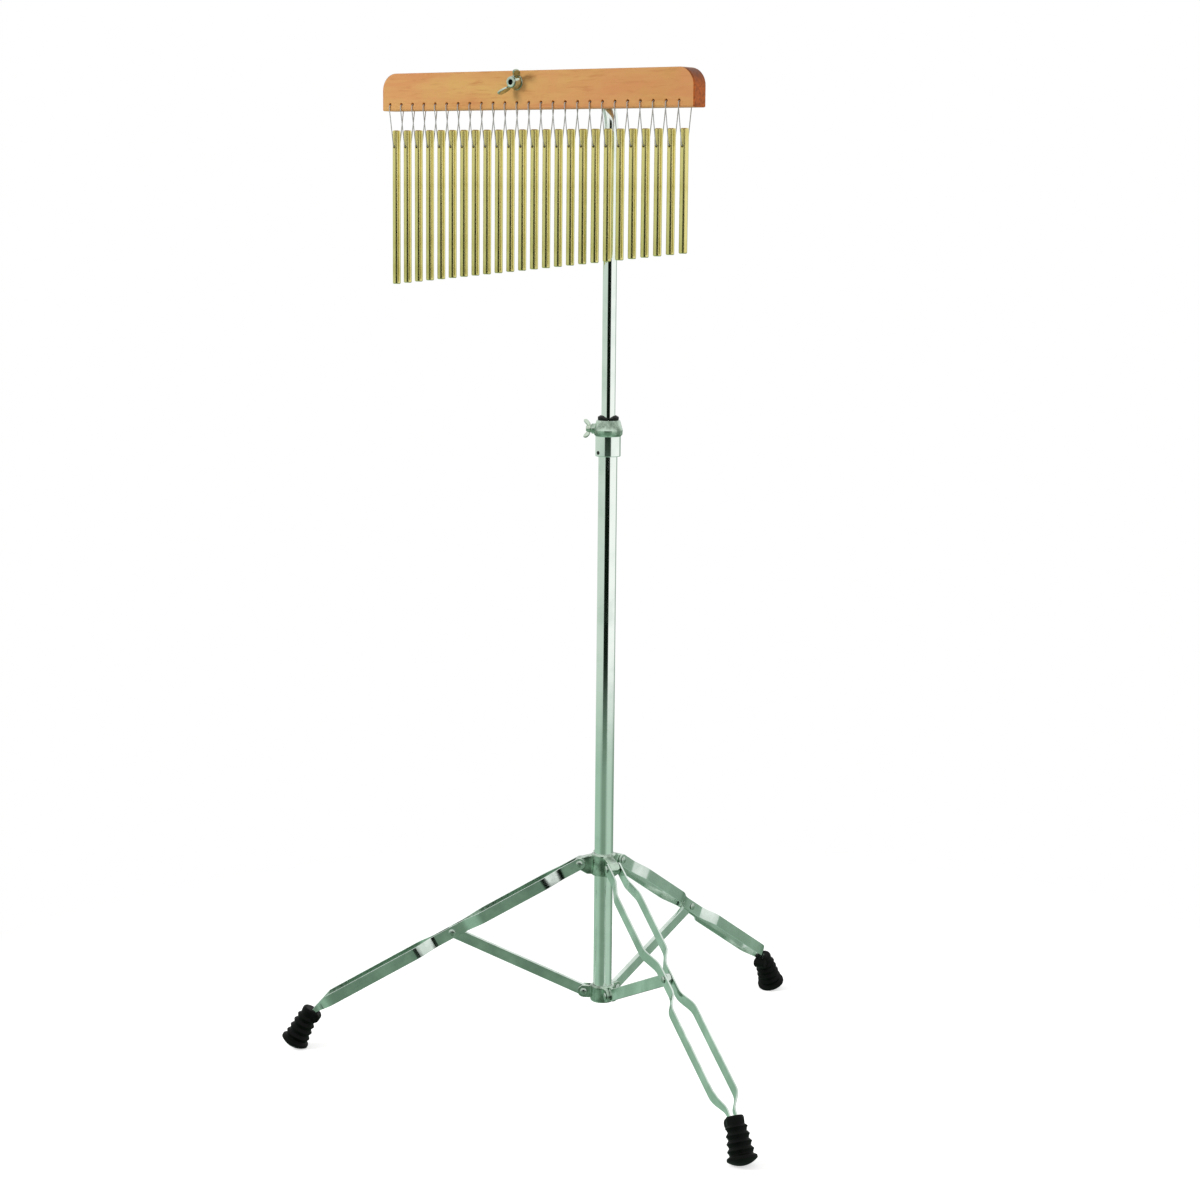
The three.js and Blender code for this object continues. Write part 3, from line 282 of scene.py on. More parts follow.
class LegSettings(bpy.types.PropertyGroup):
    slope: angle("Leg slope", "How steeply a leg falls", 30.7)
    pivot: size("Top pivot radius", "From the axis to a leg's top pivot", 28.0)
    strip_width: size("Strip width", "Height of the flat strip", 13.6)
    strip: size("Strip thickness", "Thickness of the flat strip", 2.0)
    strip_edge: size("Strip edge", "Rounding of a strip's edges", 0.4)
    top_offset: size("Top offset", "From the leg's middle to a strip at the collar", 7.55)
    waist_offset: size("Waist offset", "From the leg's middle to a strip at the brace", 4.05)
    wide_offset: size("Wide offset", "From the leg's middle to a strip where it is wide", 14.5)
    end_offset: size("End offset", "From the leg's middle to a strip in the foot", 4.2)
    top_straight: size("Top straight", "Where the upper bend starts", 25.6)
    upper_bend: size("Upper bend", "Where the upper bend ends", 47.6)
    upper_wide_end: size("Upper wide end", "Where the strips start towards the waist", 137.6)
    waist_before: size("Waist before", "Straight stretch before the middle pivot", 19.0)
    waist_after: size("Waist after", "Straight stretch after the middle pivot", 27.0)
    lower_bend: size("Lower bend", "Where the lower bend ends", 224.6)
    lower_wide_end: size("Lower wide end", "Where the strips start towards the foot", 353.6)
    bottom_straight: size("Bottom straight", "Where the strips run straight into the foot", 370.6)
    nose: size("Nose", "Where the strip's nose starts", 379.6)
    length: size("Strip length", "Length of a strip past its top pivot", 385.6)
    bend: size("Bend radius", "Radius of a strip's bends", 24.0)
    mid: size("Middle pivot", "From the top pivot to the middle one", 178.6)
    brace_pivot: size("Brace pivot radius", "From the axis to a brace's lower pivot", 22.0)
    brace_pivot_height: size("Brace pivot height", "Height of a brace's lower pivot", 88.0)
    brace_height: size("Brace height", "Height of the pressed channel", 13.5)
    brace_width: size("Brace width", "Width of the pressed channel", 5.4)
    brace_wall: size("Brace wall", "Wall of the pressed channel", 1.3)
    brace_solid: size("Brace end", "Solid length at each end of a brace", 16.0)
    brace_hole: size("Brace hole", "Diameter of a rivet's hole in a brace", 5.7)
    rivet: size("Rivet", "Diameter of a rivet", 5.0)
    rivet_head: size("Rivet head", "Diameter of a rivet's head", 8.5)
    rivet_head_height: size("Rivet head height", "Height of a rivet's head", 1.7)
    # The slight green tint of these colours is partly painted reflection of the studio's green cast
    chrome: colour("Leg chrome", "The plated strips and braces", 232, 243, 235)
    film: colour("Leg film", "The strips where the plating is dull", 196, 211, 200)
    steel: colour("Rivet steel", "The rivets' heads", 160, 176, 162)


class CollarSettings(bpy.types.PropertyGroup):
    diameter: size("Collar", "Diameter of the sliding collar", 29.0)
    below: size("Below pivot", "From the leg pivots to the collar's foot", 13.2)
    above: size("Above pivot", "From the leg pivots to the collar's top", 12.8)
    edge: size("Collar edge", "Rounding of the collar's rims", 1.5)
    lug: size("Lug width", "Width of a leg's lug", 12.4)
    lug_round: size("Lug round", "Diameter of a lug's round end", 14.0)
    lug_foot: size("Lug foot", "How far a lug's foot stands out", 5.0)
    lug_above_foot: size("Lug above foot", "From the collar's foot up to a lug's foot", 1.0)
    lug_below_top: size("Lug below top", "From the collar's top down to a lug's top", 2.0)
    screw_angle: angle("Collar screw", "Where the collar's screw points", 150.0)
    boss: size("Collar boss", "Diameter of the screw's boss", 12.0)
    boss_reach: size("Collar boss reach", "From the axis to the boss's face", 19.0)
    bracket: size("Bracket", "Diameter of the lower bracket", 29.0)
    bracket_top: size("Bracket top", "Height of the bracket's rim", 96.0)
    bracket_bottom: size("Bracket bottom", "Height of the bracket's underside", 76.0)
    bracket_floor: size("Bracket floor", "Thickness of the bracket's floor", 4.0)
    cheek: size("Fork cheek", "Thickness of a fork's cheek", 3.0)
    fork: size("Fork height", "Height of a fork", 15.0)
    voxel: size("Casting grain", "Fineness of the cast surfaces", 0.42)


class FootSettings(bpy.types.PropertyGroup):
    lean: angle("Lean", "How far a foot leans out", 27.0)
    base_height: size("Base height", "Height of the base's middle", 8.0)
    base: size("Base", "Diameter of the base", 32.3)
    flange: size("Flange", "How far the base's flange stands out", 0.8)
    flange_height: size("Flange height", "Height of the base's flange", 3.0)
    sole: size("Sole depth", "How far the rounded sole bulges", 6.5)
    shoulder: size("Shoulder", "Diameter of the shoulder", 25.0)
    shoulder_height: size("Shoulder height", "Height of the shoulder", 36.0)
    rib_depth: size("Rib depth", "Depth of the grooves between the ribs", 2.6)
    ribs: count("Ribs", "Number of ribs", 4)
    neck: size("Neck", "Diameter of the neck", 19.4)
    neck_top: size("Neck top", "Height of the neck's top", 47.3)
    pocket: size("Pocket", "Diameter of the pocket under the strips", 13.0)
    pocket_width: size("Pocket width", "Width of the pocket", 16.0)
    pocket_height: size("Pocket height", "Height of the pocket's middle", 40.0)
    pocket_offset: size("Pocket offset", "From the foot's axis to the pocket's middle", 8.2)
    end_below_neck: size("Leg end below neck", "From the neck's top down to the strips' ends", 2.3)
    end_past_neck: size("Leg end past neck", "From the neck's middle out to the strips' ends", 4.5)
    rubber: colour("Rubber", "The feet's black rubber", 2, 3, 2)
    dust: colour("Rubber dust", "Rubber where it is dusty", 12, 17, 13)


class StudioSettings(bpy.types.PropertyGroup):
    camera_x: size("Camera X", "Camera's place along X", 1795.2)
    camera_back: size("Camera distance", "Camera's place in front of the object, along -Y", 2553.4)
    camera_z: size("Camera height", "Camera's height", 1029.7)
    azimuth: angle("Azimuth", "How far round the camera stands", 36.262)
    elevation: angle("Elevation", "How far the camera looks down", 8.736)
    roll: angle("Roll", "How far the camera is rolled", 0.581)
    lens: FloatProperty(name="Lens", description="Focal length", default=78.882, unit="CAMERA")
    world_light: FloatProperty(name="World light", description="Strength of the even light", default=0.48)
    key_light: FloatProperty(name="Key light", description="Power of the lamp at the left", default=56.0)
    fill_light: FloatProperty(name="Fill light", description="Power of the lamp at the right", default=6.0)
    floor: colour("Floor", "The pale floor", 246, 247, 245)
    floor_glow: share("Floor glow", "White added to what the camera sees of the floor", 0.6)
    wall_left: colour("Left wall", "What metal reflects at the left", 206, 219, 209)
    wall_right: colour("Right wall", "What metal reflects at the right", 255, 255, 255)
    dark_side: colour("Dark side", "The dark studio behind the camera", 10, 18, 12)
    dim_left: colour("Dim left", "What metal reflects from below at the left", 165, 195, 176)
    dim_front: colour("Dim front", "What metal reflects from below in front", 124, 149, 131)
    dim_right: colour("Dim right", "What metal reflects from below at the right", 182, 206, 190)


SETTINGS = {
    "chime_rods": ChimeRodSettings,
    "wood_bar": WoodBarSettings,
    "cord": CordSettings,
    "bolt": BoltSettings,
    "tubes": TubeSettings,
    "clamp": ClampSettings,
    "legs": LegSettings,
    "collar": CollarSettings,
    "feet": FootSettings,
    "studio": StudioSettings,
}


def settings_group(key, group):
    """The property that holds one group of settings."""
    name = key.replace("_", " ").capitalize()
    return PointerProperty(type=group, name=name, description=f"{name}: sizes and colours")


class BarChimeSettings(bpy.types.PropertyGroup):
    __annotations__ = {key: settings_group(key, group) for key, group in SETTINGS.items()}


# Outlines and profiles


def rounded(points, closed=True):
    """An outline whose corners are rounded: each point is (x, y) or (x, y, radius)."""
    made = []
    for i, point in enumerate(points):
        here = Vector(point[:2])
        radius = point[2] if len(point) > 2 else 0
        if radius <= 0 or (not closed and i in (0, len(points) - 1)):
            made.append(here)
            continue
        back = (Vector(points[i - 1][:2]) - here).normalized()
        ahead = (Vector(points[(i + 1) % len(points)][:2]) - here).normalized()
        half = back.angle(ahead) / 2
        centre = here + (back + ahead).normalized() * radius / sin(half)
        start = here + back * radius / tan(half) - centre
        end = here + ahead * radius / tan(half) - centre
        first = atan2(start.y, start.x)
        opening = (atan2(end.y, end.x) - first + pi) % (2 * pi) - pi
        steps = max(2, ceil(abs(opening) / ARC_STEP))
        for k in range(steps + 1):
            turn = first + opening * k / steps
            made.append(centre + radius * Vector((cos(turn), sin(turn))))
    return made


def arc(centre, radius, start, end):
    """Points along an arc, from one angle to another in degrees."""
    steps = max(2, ceil(abs(radians(end - start)) / ARC_STEP))
    turns = [radians(start + (end - start) * k / steps) for k in range(steps + 1)]
    return [Vector((centre[0] + radius * cos(t), centre[1] + radius * sin(t))) for t in turns]


def quadratic(start, pull, end, steps=8):
    """Points along a quadratic curve, without its first."""
    made = []
    for k in range(1, steps + 1):
        t = k / steps
        weights = ((1 - t) ** 2, 2 * t * (1 - t), t * t)
        made.append(sum((w * Vector(p) for w, p in zip(weights, (start, pull, end))), Vector((0, 0))))
    return made


# Solids


def lathe(profile, sides=64, closed=False):
    """A shape turned about Z from (radius, height) points; a closed profile makes a ring."""
    bm = bmesh.new()
    turns = [2 * pi * k / sides for k in range(sides)]
    rings = []
    for radius, height in profile:
        if radius < 1e-7:
            rings.append([bm.verts.new((0, 0, height))])
        else:
            rings.append([bm.verts.new((radius * cos(t), radius * sin(t), height)) for t in turns])
    pairs = list(zip(rings, rings[1:]))
    if closed:
        pairs.append((rings[-1], rings[0]))
    for low, high in pairs:
        for k in range(sides):
            j = (k + 1) % sides
            corners = [low[k % len(low)], low[j % len(low)], high[j % len(high)], high[k % len(high)]]
            corners = list(dict.fromkeys(corners))
            if len(corners) > 2:
                bm.faces.new(corners)
    bmesh.ops.recalc_face_normals(bm, faces=bm.faces)
    return bm


def plate(outline, thickness, edge=0.0, steps=2):
    """A plate with its outline in X and Z and its thickness even about Y, with rounded rims."""
    bm = bmesh.new()
    face = bm.faces.new([bm.verts.new((p[0], -thickness / 2, p[1])) for p in outline])
    made = bmesh.ops.extrude_face_region(bm, geom=[face])["geom"]
    far_side = [v for v in made if isinstance(v, bmesh.types.BMVert)]
    bmesh.ops.translate(bm, verts=far_side, vec=(0, thickness, 0))
    bmesh.ops.recalc_face_normals(bm, faces=bm.faces)
    if edge > 0:
        rims = [e for e in bm.edges if abs(e.verts[0].co.y - e.verts[1].co.y) < 1e-8]
        bmesh.ops.bevel(bm, geom=rims, offset=edge, segments=steps, profile=0.5, affect="EDGES")
    return bm


def pin(diameter, low, high, sides=40, edge=0.0):
    """A round pin about Z."""
    r = diameter / 2
    return lathe(rounded([(0, low), (r, low, edge), (r, high, edge), (0, high)], closed=False), sides)


def block(low, high):
    """A box between two corners."""
    bm = bmesh.new()
    bmesh.ops.create_cube(bm, size=1.0)
    low, high = Vector(low), Vector(high)
    for v in bm.verts:
        v.co = Vector([(a + b) / 2 + c * (b - a) for a, b, c in zip(low, high, v.co)])
    return bm


def sweep(points, radius, sides):
    """A round bar along a line of points, with its length and turn kept in a UV map."""
    bm = bmesh.new()
    lengths = [0.0]
    for a, b in zip(points, points[1:]):
        lengths.append(lengths[-1] + (b - a).length)
    across = Vector((1, 0, 0))
    rings = []
    for i, here in enumerate(points):
        along = (points[min(i + 1, len(points) - 1)] - points[max(i - 1, 0)]).normalized()
        across = (across - along * across.dot(along)).normalized()
        up = along.cross(across)
        turns = [2 * pi * k / sides for k in range(sides)]
        rings.append([bm.verts.new(here + radius * (cos(t) * across + sin(t) * up)) for t in turns])
    uv = bm.loops.layers.uv.new("run")
    for i, (low, high) in enumerate(zip(rings, rings[1:])):
        for k in range(sides):
            j = (k + 1) % sides
            face = bm.faces.new([low[k], low[j], high[j], high[k]])
            places = [(i, k), (i, k + 1), (i + 1, k + 1), (i + 1, k)]
            for loop, (ring, side) in zip(face.loops, places):
                loop[uv].uv = (lengths[ring], side / sides)
    bm.faces.new(rings[0][::-1])
    bm.faces.new(rings[-1])
    bmesh.ops.recalc_face_normals(bm, faces=bm.faces)
    return bm


def moved(bm, matrix):
    """The solid, moved by a matrix."""
    bmesh.ops.transform(bm, matrix=matrix, verts=bm.verts)
    return bm


def together(*solids):
    """Several solids in one mesh."""
    whole = bmesh.new()
    for solid in solids:
        mesh = bpy.data.meshes.new("part")
        solid.to_mesh(mesh)
        solid.free()
        whole.from_mesh(mesh)
        bpy.data.meshes.remove(mesh)
    return whole


def as_object(bm, name):
    """A new object from a solid."""
    mesh = bpy.data.meshes.new(name)
    bm.to_mesh(mesh)
    bm.free()
    obj = bpy.data.objects.new(name, mesh)
    bpy.context.scene.collection.objects.link(obj)
    return obj


def applied(obj):
    """The object with its modifiers made part of its mesh."""
    view = bpy.context.evaluated_depsgraph_get()
    mesh = bpy.data.meshes.new_from_object(obj.evaluated_get(view), depsgraph=view)
    obj.modifiers.clear()
    old, obj.data = obj.data, mesh
    bpy.data.meshes.remove(old)
    mesh.name = obj.name
    return obj


def boolean(obj, other, operation):
    """Cuts or joins obj with another solid."""
    tool = as_object(other, "tool")
    step = obj.modifiers.new("shape", "BOOLEAN")
    step.object = tool
    step.operation = operation
    step.solver = "EXACT"
    applied(obj)
    mesh = tool.data
    bpy.data.objects.remove(tool)
    bpy.data.meshes.remove(mesh)
    return obj


def cut(obj, *solids):
    """Cuts solids out of obj."""
    return boolean(obj, together(*solids), "DIFFERENCE")


def cast(name, solids, voxel, softness, cuts=()):
    """A casting: solids grown together with soft inner corners, then cut."""
    obj = as_object(together(*solids), name)
    skin = obj.modifiers.new("skin", "REMESH")
    skin.mode = "VOXEL"
    skin.voxel_size = voxel
    soft = obj.modifiers.new("soft", "SMOOTH")
    soft.factor = 0.5
    soft.iterations = softness
    applied(obj)
    if cuts:
        cut(obj, *cuts)
    return obj


def shaded(obj, material, crease=35.0):
    """Smooth shading with creases kept, and the piece's material."""
    mesh = obj.data
    mesh.materials.clear()
    mesh.materials.append(material)
    mesh.shade_smooth()
    mesh.set_sharp_from_angle(angle=radians(crease))
    return obj


def weighted(obj):
    """Keeps flat faces flat in the shading."""
    even = obj.modifiers.new("even", "WEIGHTED_NORMAL")
    even.keep_sharp = True
    return obj


def placed(obj, matrix, node):
    """Sets a piece where a CAD node is and lets it stand for that node."""
    obj.matrix_world = Matrix.Translation(AXIS) @ matrix
    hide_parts(node)
    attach(obj, BODY_OF[node])
    return obj


def twin(obj, name):
    """A copy of a piece with its own name and the same mesh."""
    copy = bpy.data.objects.new(name, obj.data)
    bpy.context.scene.collection.objects.link(copy)
    return copy


def leg_plane(name):
    """The upright plane of a leg: +X points out along the floor."""
    return Matrix.Rotation(radians(LEG_ANGLES[name]), 4, "Z")


def leg_end():
    """The radius and height of the strips' ends, in the neck of the foot."""
    legs, feet = settings().legs, settings().feet
    height = feet.base_height + feet.neck_top * cos(feet.lean) - feet.end_below_neck
    radius = legs.pivot + legs.length * cos(legs.slope)
    return radius, height


def leg_pivot_height():
    """The height of the legs' top pivots."""
    legs = settings().legs
    return leg_end()[1] + legs.length * sin(legs.slope)


def leg_matrix(name):
    """From a leg's own axes, +X down along it from its top pivot, to the stand's."""
    legs = settings().legs
    pivot = Matrix.Translation((legs.pivot, 0, leg_pivot_height()))
    return leg_plane(name) @ pivot @ Matrix.Rotation(legs.slope, 4, "Y")


def brace_line():
    """A brace's length and its rise above the level, in radians."""
    legs = settings().legs
    run = legs.pivot + legs.mid * cos(legs.slope) - legs.brace_pivot
    rise = leg_pivot_height() - legs.mid * sin(legs.slope) - legs.brace_pivot_height
    return hypot(run, rise), atan2(rise, run)


def brace_matrix(name):
    """From a brace's own axes, +X up along it from its lower pivot, to the stand's."""
    legs = settings().legs
    pivot = Matrix.Translation((legs.brace_pivot, 0, legs.brace_pivot_height))
    return leg_plane(name) @ pivot @ Matrix.Rotation(-brace_line()[1], 4, "Y")


def settings():
    """The add-on's sizes and colours."""
    return bpy.context.scene.bar_chimes


# Materials


def add_node(tree, kind, inputs=(), **values):
    """A node whose inputs are (name or number, value or socket) pairs."""
    made = tree.nodes.new(kind)
    for key, value in values.items():
        setattr(made, key, value)
    for key, value in inputs:
        if isinstance(value, bpy.types.NodeSocket):
            tree.links.new(value, made.inputs[key])
        else:
            made.inputs[key].default_value = value
    return made


def math_node(tree, operation, first, second=0.0):
    """One step of arithmetic."""
    made = add_node(tree, "ShaderNodeMath", [(0, first), (1, second)], operation=operation)
    return made.outputs[0]


def remap(tree, value, low, high, new_low=0.0, new_high=1.0, kind="SMOOTHSTEP"):
    """A value moved from one range to another, and kept in it."""
    pairs = [("Value", value), ("From Min", low), ("From Max", high)]
    pairs += [("To Min", new_low), ("To Max", new_high)]
    return add_node(tree, "ShaderNodeMapRange", pairs, interpolation_type=kind).outputs["Result"]


def blended(tree, amount, first, second):
    """A colour between two others."""
    pairs = [(0, amount)]
    for key, value in ((MIX_FIRST, first), (MIX_SECOND, second)):
        pairs.append((key, value if isinstance(value, bpy.types.NodeSocket) else (*value, 1.0)))
    return add_node(tree, "ShaderNodeMix", pairs, data_type="RGBA").outputs[MIX_RESULT]


def new_group(name, inputs, outputs):
    """A shader node group with float or vector inputs and float outputs."""
    tree = bpy.data.node_groups.new(name, "ShaderNodeTree")
    for key, kind, value in inputs:
        socket = tree.interface.new_socket(name=key, in_out="INPUT", socket_type=kind)
        if value is not None:
            socket.default_value = value
    for key in outputs:
        tree.interface.new_socket(name=key, in_out="OUTPUT", socket_type="NodeSocketFloat")
    return tree, tree.nodes.new("NodeGroupInput"), tree.nodes.new("NodeGroupOutput")


def handled_group():
    """Soft blotches, where a finish is wiped, handled or dull."""
    if "handled" in bpy.data.node_groups:
        return bpy.data.node_groups["handled"]
    tree, given, result = new_group(
        "handled",
        [
            ("Vector", "NodeSocketVector", None),
            ("Scale", "NodeSocketFloat", 60.0),
            ("Coverage", "NodeSocketFloat", 0.5),
        ],
        ["Blotches", "Specks"],
    )
    broad = add_node(
        tree,
        "ShaderNodeTexNoise",
        [
            ("Vector", given.outputs["Vector"]),
            ("Scale", given.outputs["Scale"]),
            ("Detail", 5.0),
            ("Roughness", 0.6),
        ],
    )
    start = math_node(tree, "SUBTRACT", 0.78, given.outputs["Coverage"])
    end = math_node(tree, "ADD", start, 0.3)
    blotches = remap(tree, broad.outputs[0], start, end)
    finer = math_node(tree, "MULTIPLY", given.outputs["Scale"], 14.0)
    specks = add_node(
        tree, "ShaderNodeTexNoise", [("Vector", given.outputs["Vector"]), ("Scale", finer), ("Detail", 3.0)]
    )
    tree.links.new(blotches, result.inputs["Blotches"])
    tree.links.new(remap(tree, specks.outputs[0], 0.35, 0.7), result.inputs["Specks"])
    return tree


def drawn_group():
    """Fine lines left by drawing, rolling or polishing, long in one direction."""
    if "drawn" in bpy.data.node_groups:
        return bpy.data.node_groups["drawn"]
    tree, given, result = new_group(
        "drawn",
        [
            ("Vector", "NodeSocketVector", None),
            ("Stretch", "NodeSocketVector", (1.0, 1.0, 0.02)),
            ("Scale", "NodeSocketFloat", 900.0),
        ],
        ["Lines"],
    )
    stretched = add_node(
        tree,
        "ShaderNodeVectorMath",
        [(0, given.outputs["Vector"]), (1, given.outputs["Stretch"])],
        operation="MULTIPLY",
    )
    lines = add_node(
        tree,
        "ShaderNodeTexNoise",
        [
            ("Vector", stretched.outputs[0]),
            ("Scale", given.outputs["Scale"]),
            ("Detail", 4.0),
            ("Roughness", 0.65),
        ],
    )
    tree.links.new(remap(tree, lines.outputs[0], 0.3, 0.7, kind="LINEAR"), result.inputs["Lines"])
    return tree


def new_material(name, metallic=0.0, coat=0.0):
    """A material with its Principled shader and object coordinates."""
    material = bpy.data.materials.new(name)
    material.use_nodes = True
    tree = material.node_tree
    shader = tree.nodes["Principled BSDF"]
    shader.inputs["Metallic"].default_value = metallic
    shader.inputs["Coat Weight"].default_value = coat
    place = tree.nodes.new("ShaderNodeTexCoord")
    return material, tree, shader, place.outputs["Object"]


def group_node(tree, group, inputs):
    """A group placed in a material with its own values."""
    return add_node(tree, "ShaderNodeGroup", inputs, node_tree=group)


def bumped(tree, shader, height, strength, distance):
    """Gives a shader fine relief from a height."""
    pairs = [("Height", height), ("Strength", strength), ("Distance", distance)]
    bump = add_node(tree, "ShaderNodeBump", pairs)
    tree.links.new(bump.outputs["Normal"], shader.inputs["Normal"])


def plated(
    name,
    colours,
    stretch=(1.0, 1.0, 1.0),
    rough=(0.06, 0.14),
    blotches=(22.0, 0.36),
    relief=0.015,
    grit=0.0,
):
    """Bright plating with wiped blotches, drawn lines and, if cast, a grainy skin.

    The colours are the bright one and the dull one, the blotches a scale and a coverage.
    """
    if name in bpy.data.materials:
        return bpy.data.materials[name]
    material, tree, shader, place = new_material(name, metallic=1.0)
    scale, coverage = blotches
    handled = group_node(tree, handled_group(), [("Vector", place), ("Scale", scale), ("Coverage", coverage)])
    drawn = group_node(tree, drawn_group(), [("Vector", place), ("Stretch", stretch)])
    wiped = math_node(tree, "MULTIPLY", handled.outputs["Blotches"], 0.8)
    lined = math_node(tree, "MULTIPLY", drawn.outputs["Lines"], 0.2)
    mask = math_node(tree, "ADD", wiped, lined)
    tree.links.new(blended(tree, mask, *colours), shader.inputs["Base Color"])
    tree.links.new(remap(tree, mask, 0.0, 1.0, *rough, kind="LINEAR"), shader.inputs["Roughness"])
    grains = math_node(tree, "MULTIPLY", handled.outputs["Specks"], grit)
    relief_lines = math_node(tree, "MULTIPLY", drawn.outputs["Lines"], 1.0 - grit)
    height = math_node(tree, "ADD", grains, relief_lines)
    bumped(tree, shader, height, relief, 0.1 * MM)
    return material


def chrome_tube_material():
    """The smooth chrome of both tubes, drawn along their length."""
    s = settings().tubes
    return plated("look_tube_chrome", (s.chrome, s.film), (1.0, 1.0, 0.015))


def leg_chrome_material():
    """The plating of the strips and braces, rolled along their length."""
    s = settings().legs
    colours = (s.chrome, s.film)
    return plated("look_leg_chrome", colours, (0.02, 1.0, 1.0), (0.07, 0.18), (24.0, 0.46), relief=0.05)


def cast_chrome_material():
    """The plated castings, with a grainy skin."""
    s = settings().clamp
    colours = (s.cast, s.pit)
    return plated(
        "look_cast_chrome", colours, rough=(0.1, 0.24), blotches=(70.0, 0.4), relief=0.16, grit=0.8
    )


def screw_chrome_material():
    """The duller plating of the bolt, washer and wings."""
    s = settings().bolt
    colours = (s.plate, s.worn)
    return plated(
        "look_screw_plating", colours, rough=(0.12, 0.26), blotches=(90.0, 0.4), relief=0.16, grit=0.7
    )


def rivet_material():
    """The steel of the rivets' heads."""
    s = settings().legs
    colours = (s.steel, s.film)
    return plated(
        "look_rivet_steel", colours, rough=(0.18, 0.36), blotches=(260.0, 0.4), relief=0.2, grit=0.6
    )


def gold_material():
    """The satin gold of the rods, drawn along their length."""
    s = settings().chime_rods
    return plated("look_anodised_gold", (s.bright, s.dull), (1.0, 1.0, 0.01), (0.19, 0.26), (26.0, 0.36))


def wood_material():
    """Straight grained wood with stained ends."""
    if "look_bar_wood" in bpy.data.materials:
        return bpy.data.materials["look_bar_wood"]
    s = settings().wood_bar
    material, tree, shader, place = new_material("look_bar_wood", coat=0.08)
    shader.inputs["Coat Roughness"].default_value = 0.3
    shader.inputs["Specular IOR Level"].default_value = 0.25
    turned = add_node(tree, "ShaderNodeMapping", [("Vector", place), ("Rotation", GRAIN_LEAN)]).outputs[0]
    broad = add_node(
        tree, "ShaderNodeVectorMath", [(0, turned), (1, GRAIN_PACKING)], operation="MULTIPLY"
    ).outputs[0]
    bands = add_node(
        tree,
        "ShaderNodeTexNoise",
        [("Vector", broad), ("Scale", 1.6), ("Detail", 4.0), ("Roughness", 0.55), ("Distortion", 0.6)],
    ).outputs[0]
    rings = add_node(
        tree,
        "ShaderNodeTexNoise",
        [("Vector", broad), ("Scale", 9.0), ("Detail", 5.0), ("Roughness", 0.6), ("Distortion", 0.3)],
    ).outputs[0]
    pores = group_node(
        tree, drawn_group(), [("Vector", turned), ("Stretch", PORE_STRETCH), ("Scale", 1500.0)]
    ).outputs["Lines"]
    handled = group_node(tree, handled_group(), [("Vector", place), ("Scale", 14.0), ("Coverage", 0.45)])
    base = blended(tree, remap(tree, bands, 0.3, 0.68), s.pale, s.tan)
    lines = math_node(tree, "MULTIPLY", remap(tree, rings, 0.52, 0.74), 0.62)
    base = blended(tree, lines, base, s.streak)
    base = blended(tree, math_node(tree, "MULTIPLY", remap(tree, pores, 0.62, 0.95), 0.35), base, s.streak)
    base = blended(tree, math_node(tree, "MULTIPLY", handled.outputs["Blotches"], 0.4), base, s.rosy)
    facing = tree.nodes.new("ShaderNodeTexCoord").outputs["Normal"]
    along = add_node(tree, "ShaderNodeSeparateXYZ", [("Vector", facing)]).outputs["X"]
    ends = remap(tree, math_node(tree, "ABSOLUTE", along), *FACES_END)
    rim = add_node(tree, "ShaderNodeSeparateXYZ", [("Vector", place)]).outputs["Z"]
    dark = blended(tree, remap(tree, rings, 0.35, 0.75), s.end_grain, [c * 0.5 for c in s.end_grain])
    # The ends darken towards the top
    top = remap(tree, rim, *END_DARKENS_UPWARD)
    dark = blended(tree, math_node(tree, "MULTIPLY", top, 0.8), dark, [c * 0.2 for c in s.end_grain])
    base = blended(tree, ends, base, dark)
    tree.links.new(base, shader.inputs["Base Color"])
    rough = math_node(tree, "ADD", 0.42, math_node(tree, "MULTIPLY", pores, 0.2))
    tree.links.new(rough, shader.inputs["Roughness"])
    shallow, deep = math_node(tree, "MULTIPLY", rings, 0.3), math_node(tree, "MULTIPLY", pores, 0.7)
    relief = math_node(tree, "ADD", deep, shallow)
    bumped(tree, shader, relief, 0.16, 0.12 * MM)
    return material


def hole_material():
    """The raw, rough wood inside the drilled holes."""
    if "look_drilled_wood" in bpy.data.materials:
        return bpy.data.materials["look_drilled_wood"]
    s = settings().wood_bar
    material, tree, shader, place = new_material("look_drilled_wood")
    handled = group_node(tree, handled_group(), [("Vector", place), ("Scale", 600.0)])
    deep = [c * 0.7 for c in s.hole_colour]
    base = blended(tree, handled.outputs["Blotches"], s.hole_colour, deep)
    tree.links.new(base, shader.inputs["Base Color"])
    shader.inputs["Roughness"].default_value = 0.8
    bumped(tree, shader, handled.outputs["Specks"], 0.4, 0.1 * MM)
    return material


def cord_material():
    """Thin cord of three twisted strands, with painted shade in the grooves between them."""
    if "look_twisted_cord" in bpy.data.materials:
        return bpy.data.materials["look_twisted_cord"]
    s = settings().cord
    material, tree, shader, place = new_material("look_twisted_cord")
    run = tree.nodes.new("ShaderNodeUVMap")
    run.uv_map = "run"
    parts = add_node(tree, "ShaderNodeSeparateXYZ", [("Vector", run.outputs[0])])
    turns = math_node(tree, "MULTIPLY", parts.outputs["X"], 1.0 / s.lay)
    strands = math_node(tree, "MULTIPLY", math_node(tree, "ADD", turns, parts.outputs["Y"]), 3.0 * 2.0 * pi)
    wave = math_node(tree, "MULTIPLY", math_node(tree, "ADD", math_node(tree, "SINE", strands), 1.0), 0.5)
    lit = remap(tree, wave, 0.0, 0.55)
    fuzz = group_node(tree, handled_group(), [("Vector", place), ("Scale", 900.0)]).outputs["Specks"]
    # Painted shade in the grooves, lighter on the strands
    tree.links.new(blended(tree, lit, s.shade, s.pale), shader.inputs["Base Color"])
    tree.links.new(remap(tree, fuzz, 0.0, 1.0, 0.42, 0.66, kind="LINEAR"), shader.inputs["Roughness"])
    bumped(tree, shader, math_node(tree, "ADD", lit, math_node(tree, "MULTIPLY", fuzz, 0.2)), 0.6, 0.15 * MM)
    return material


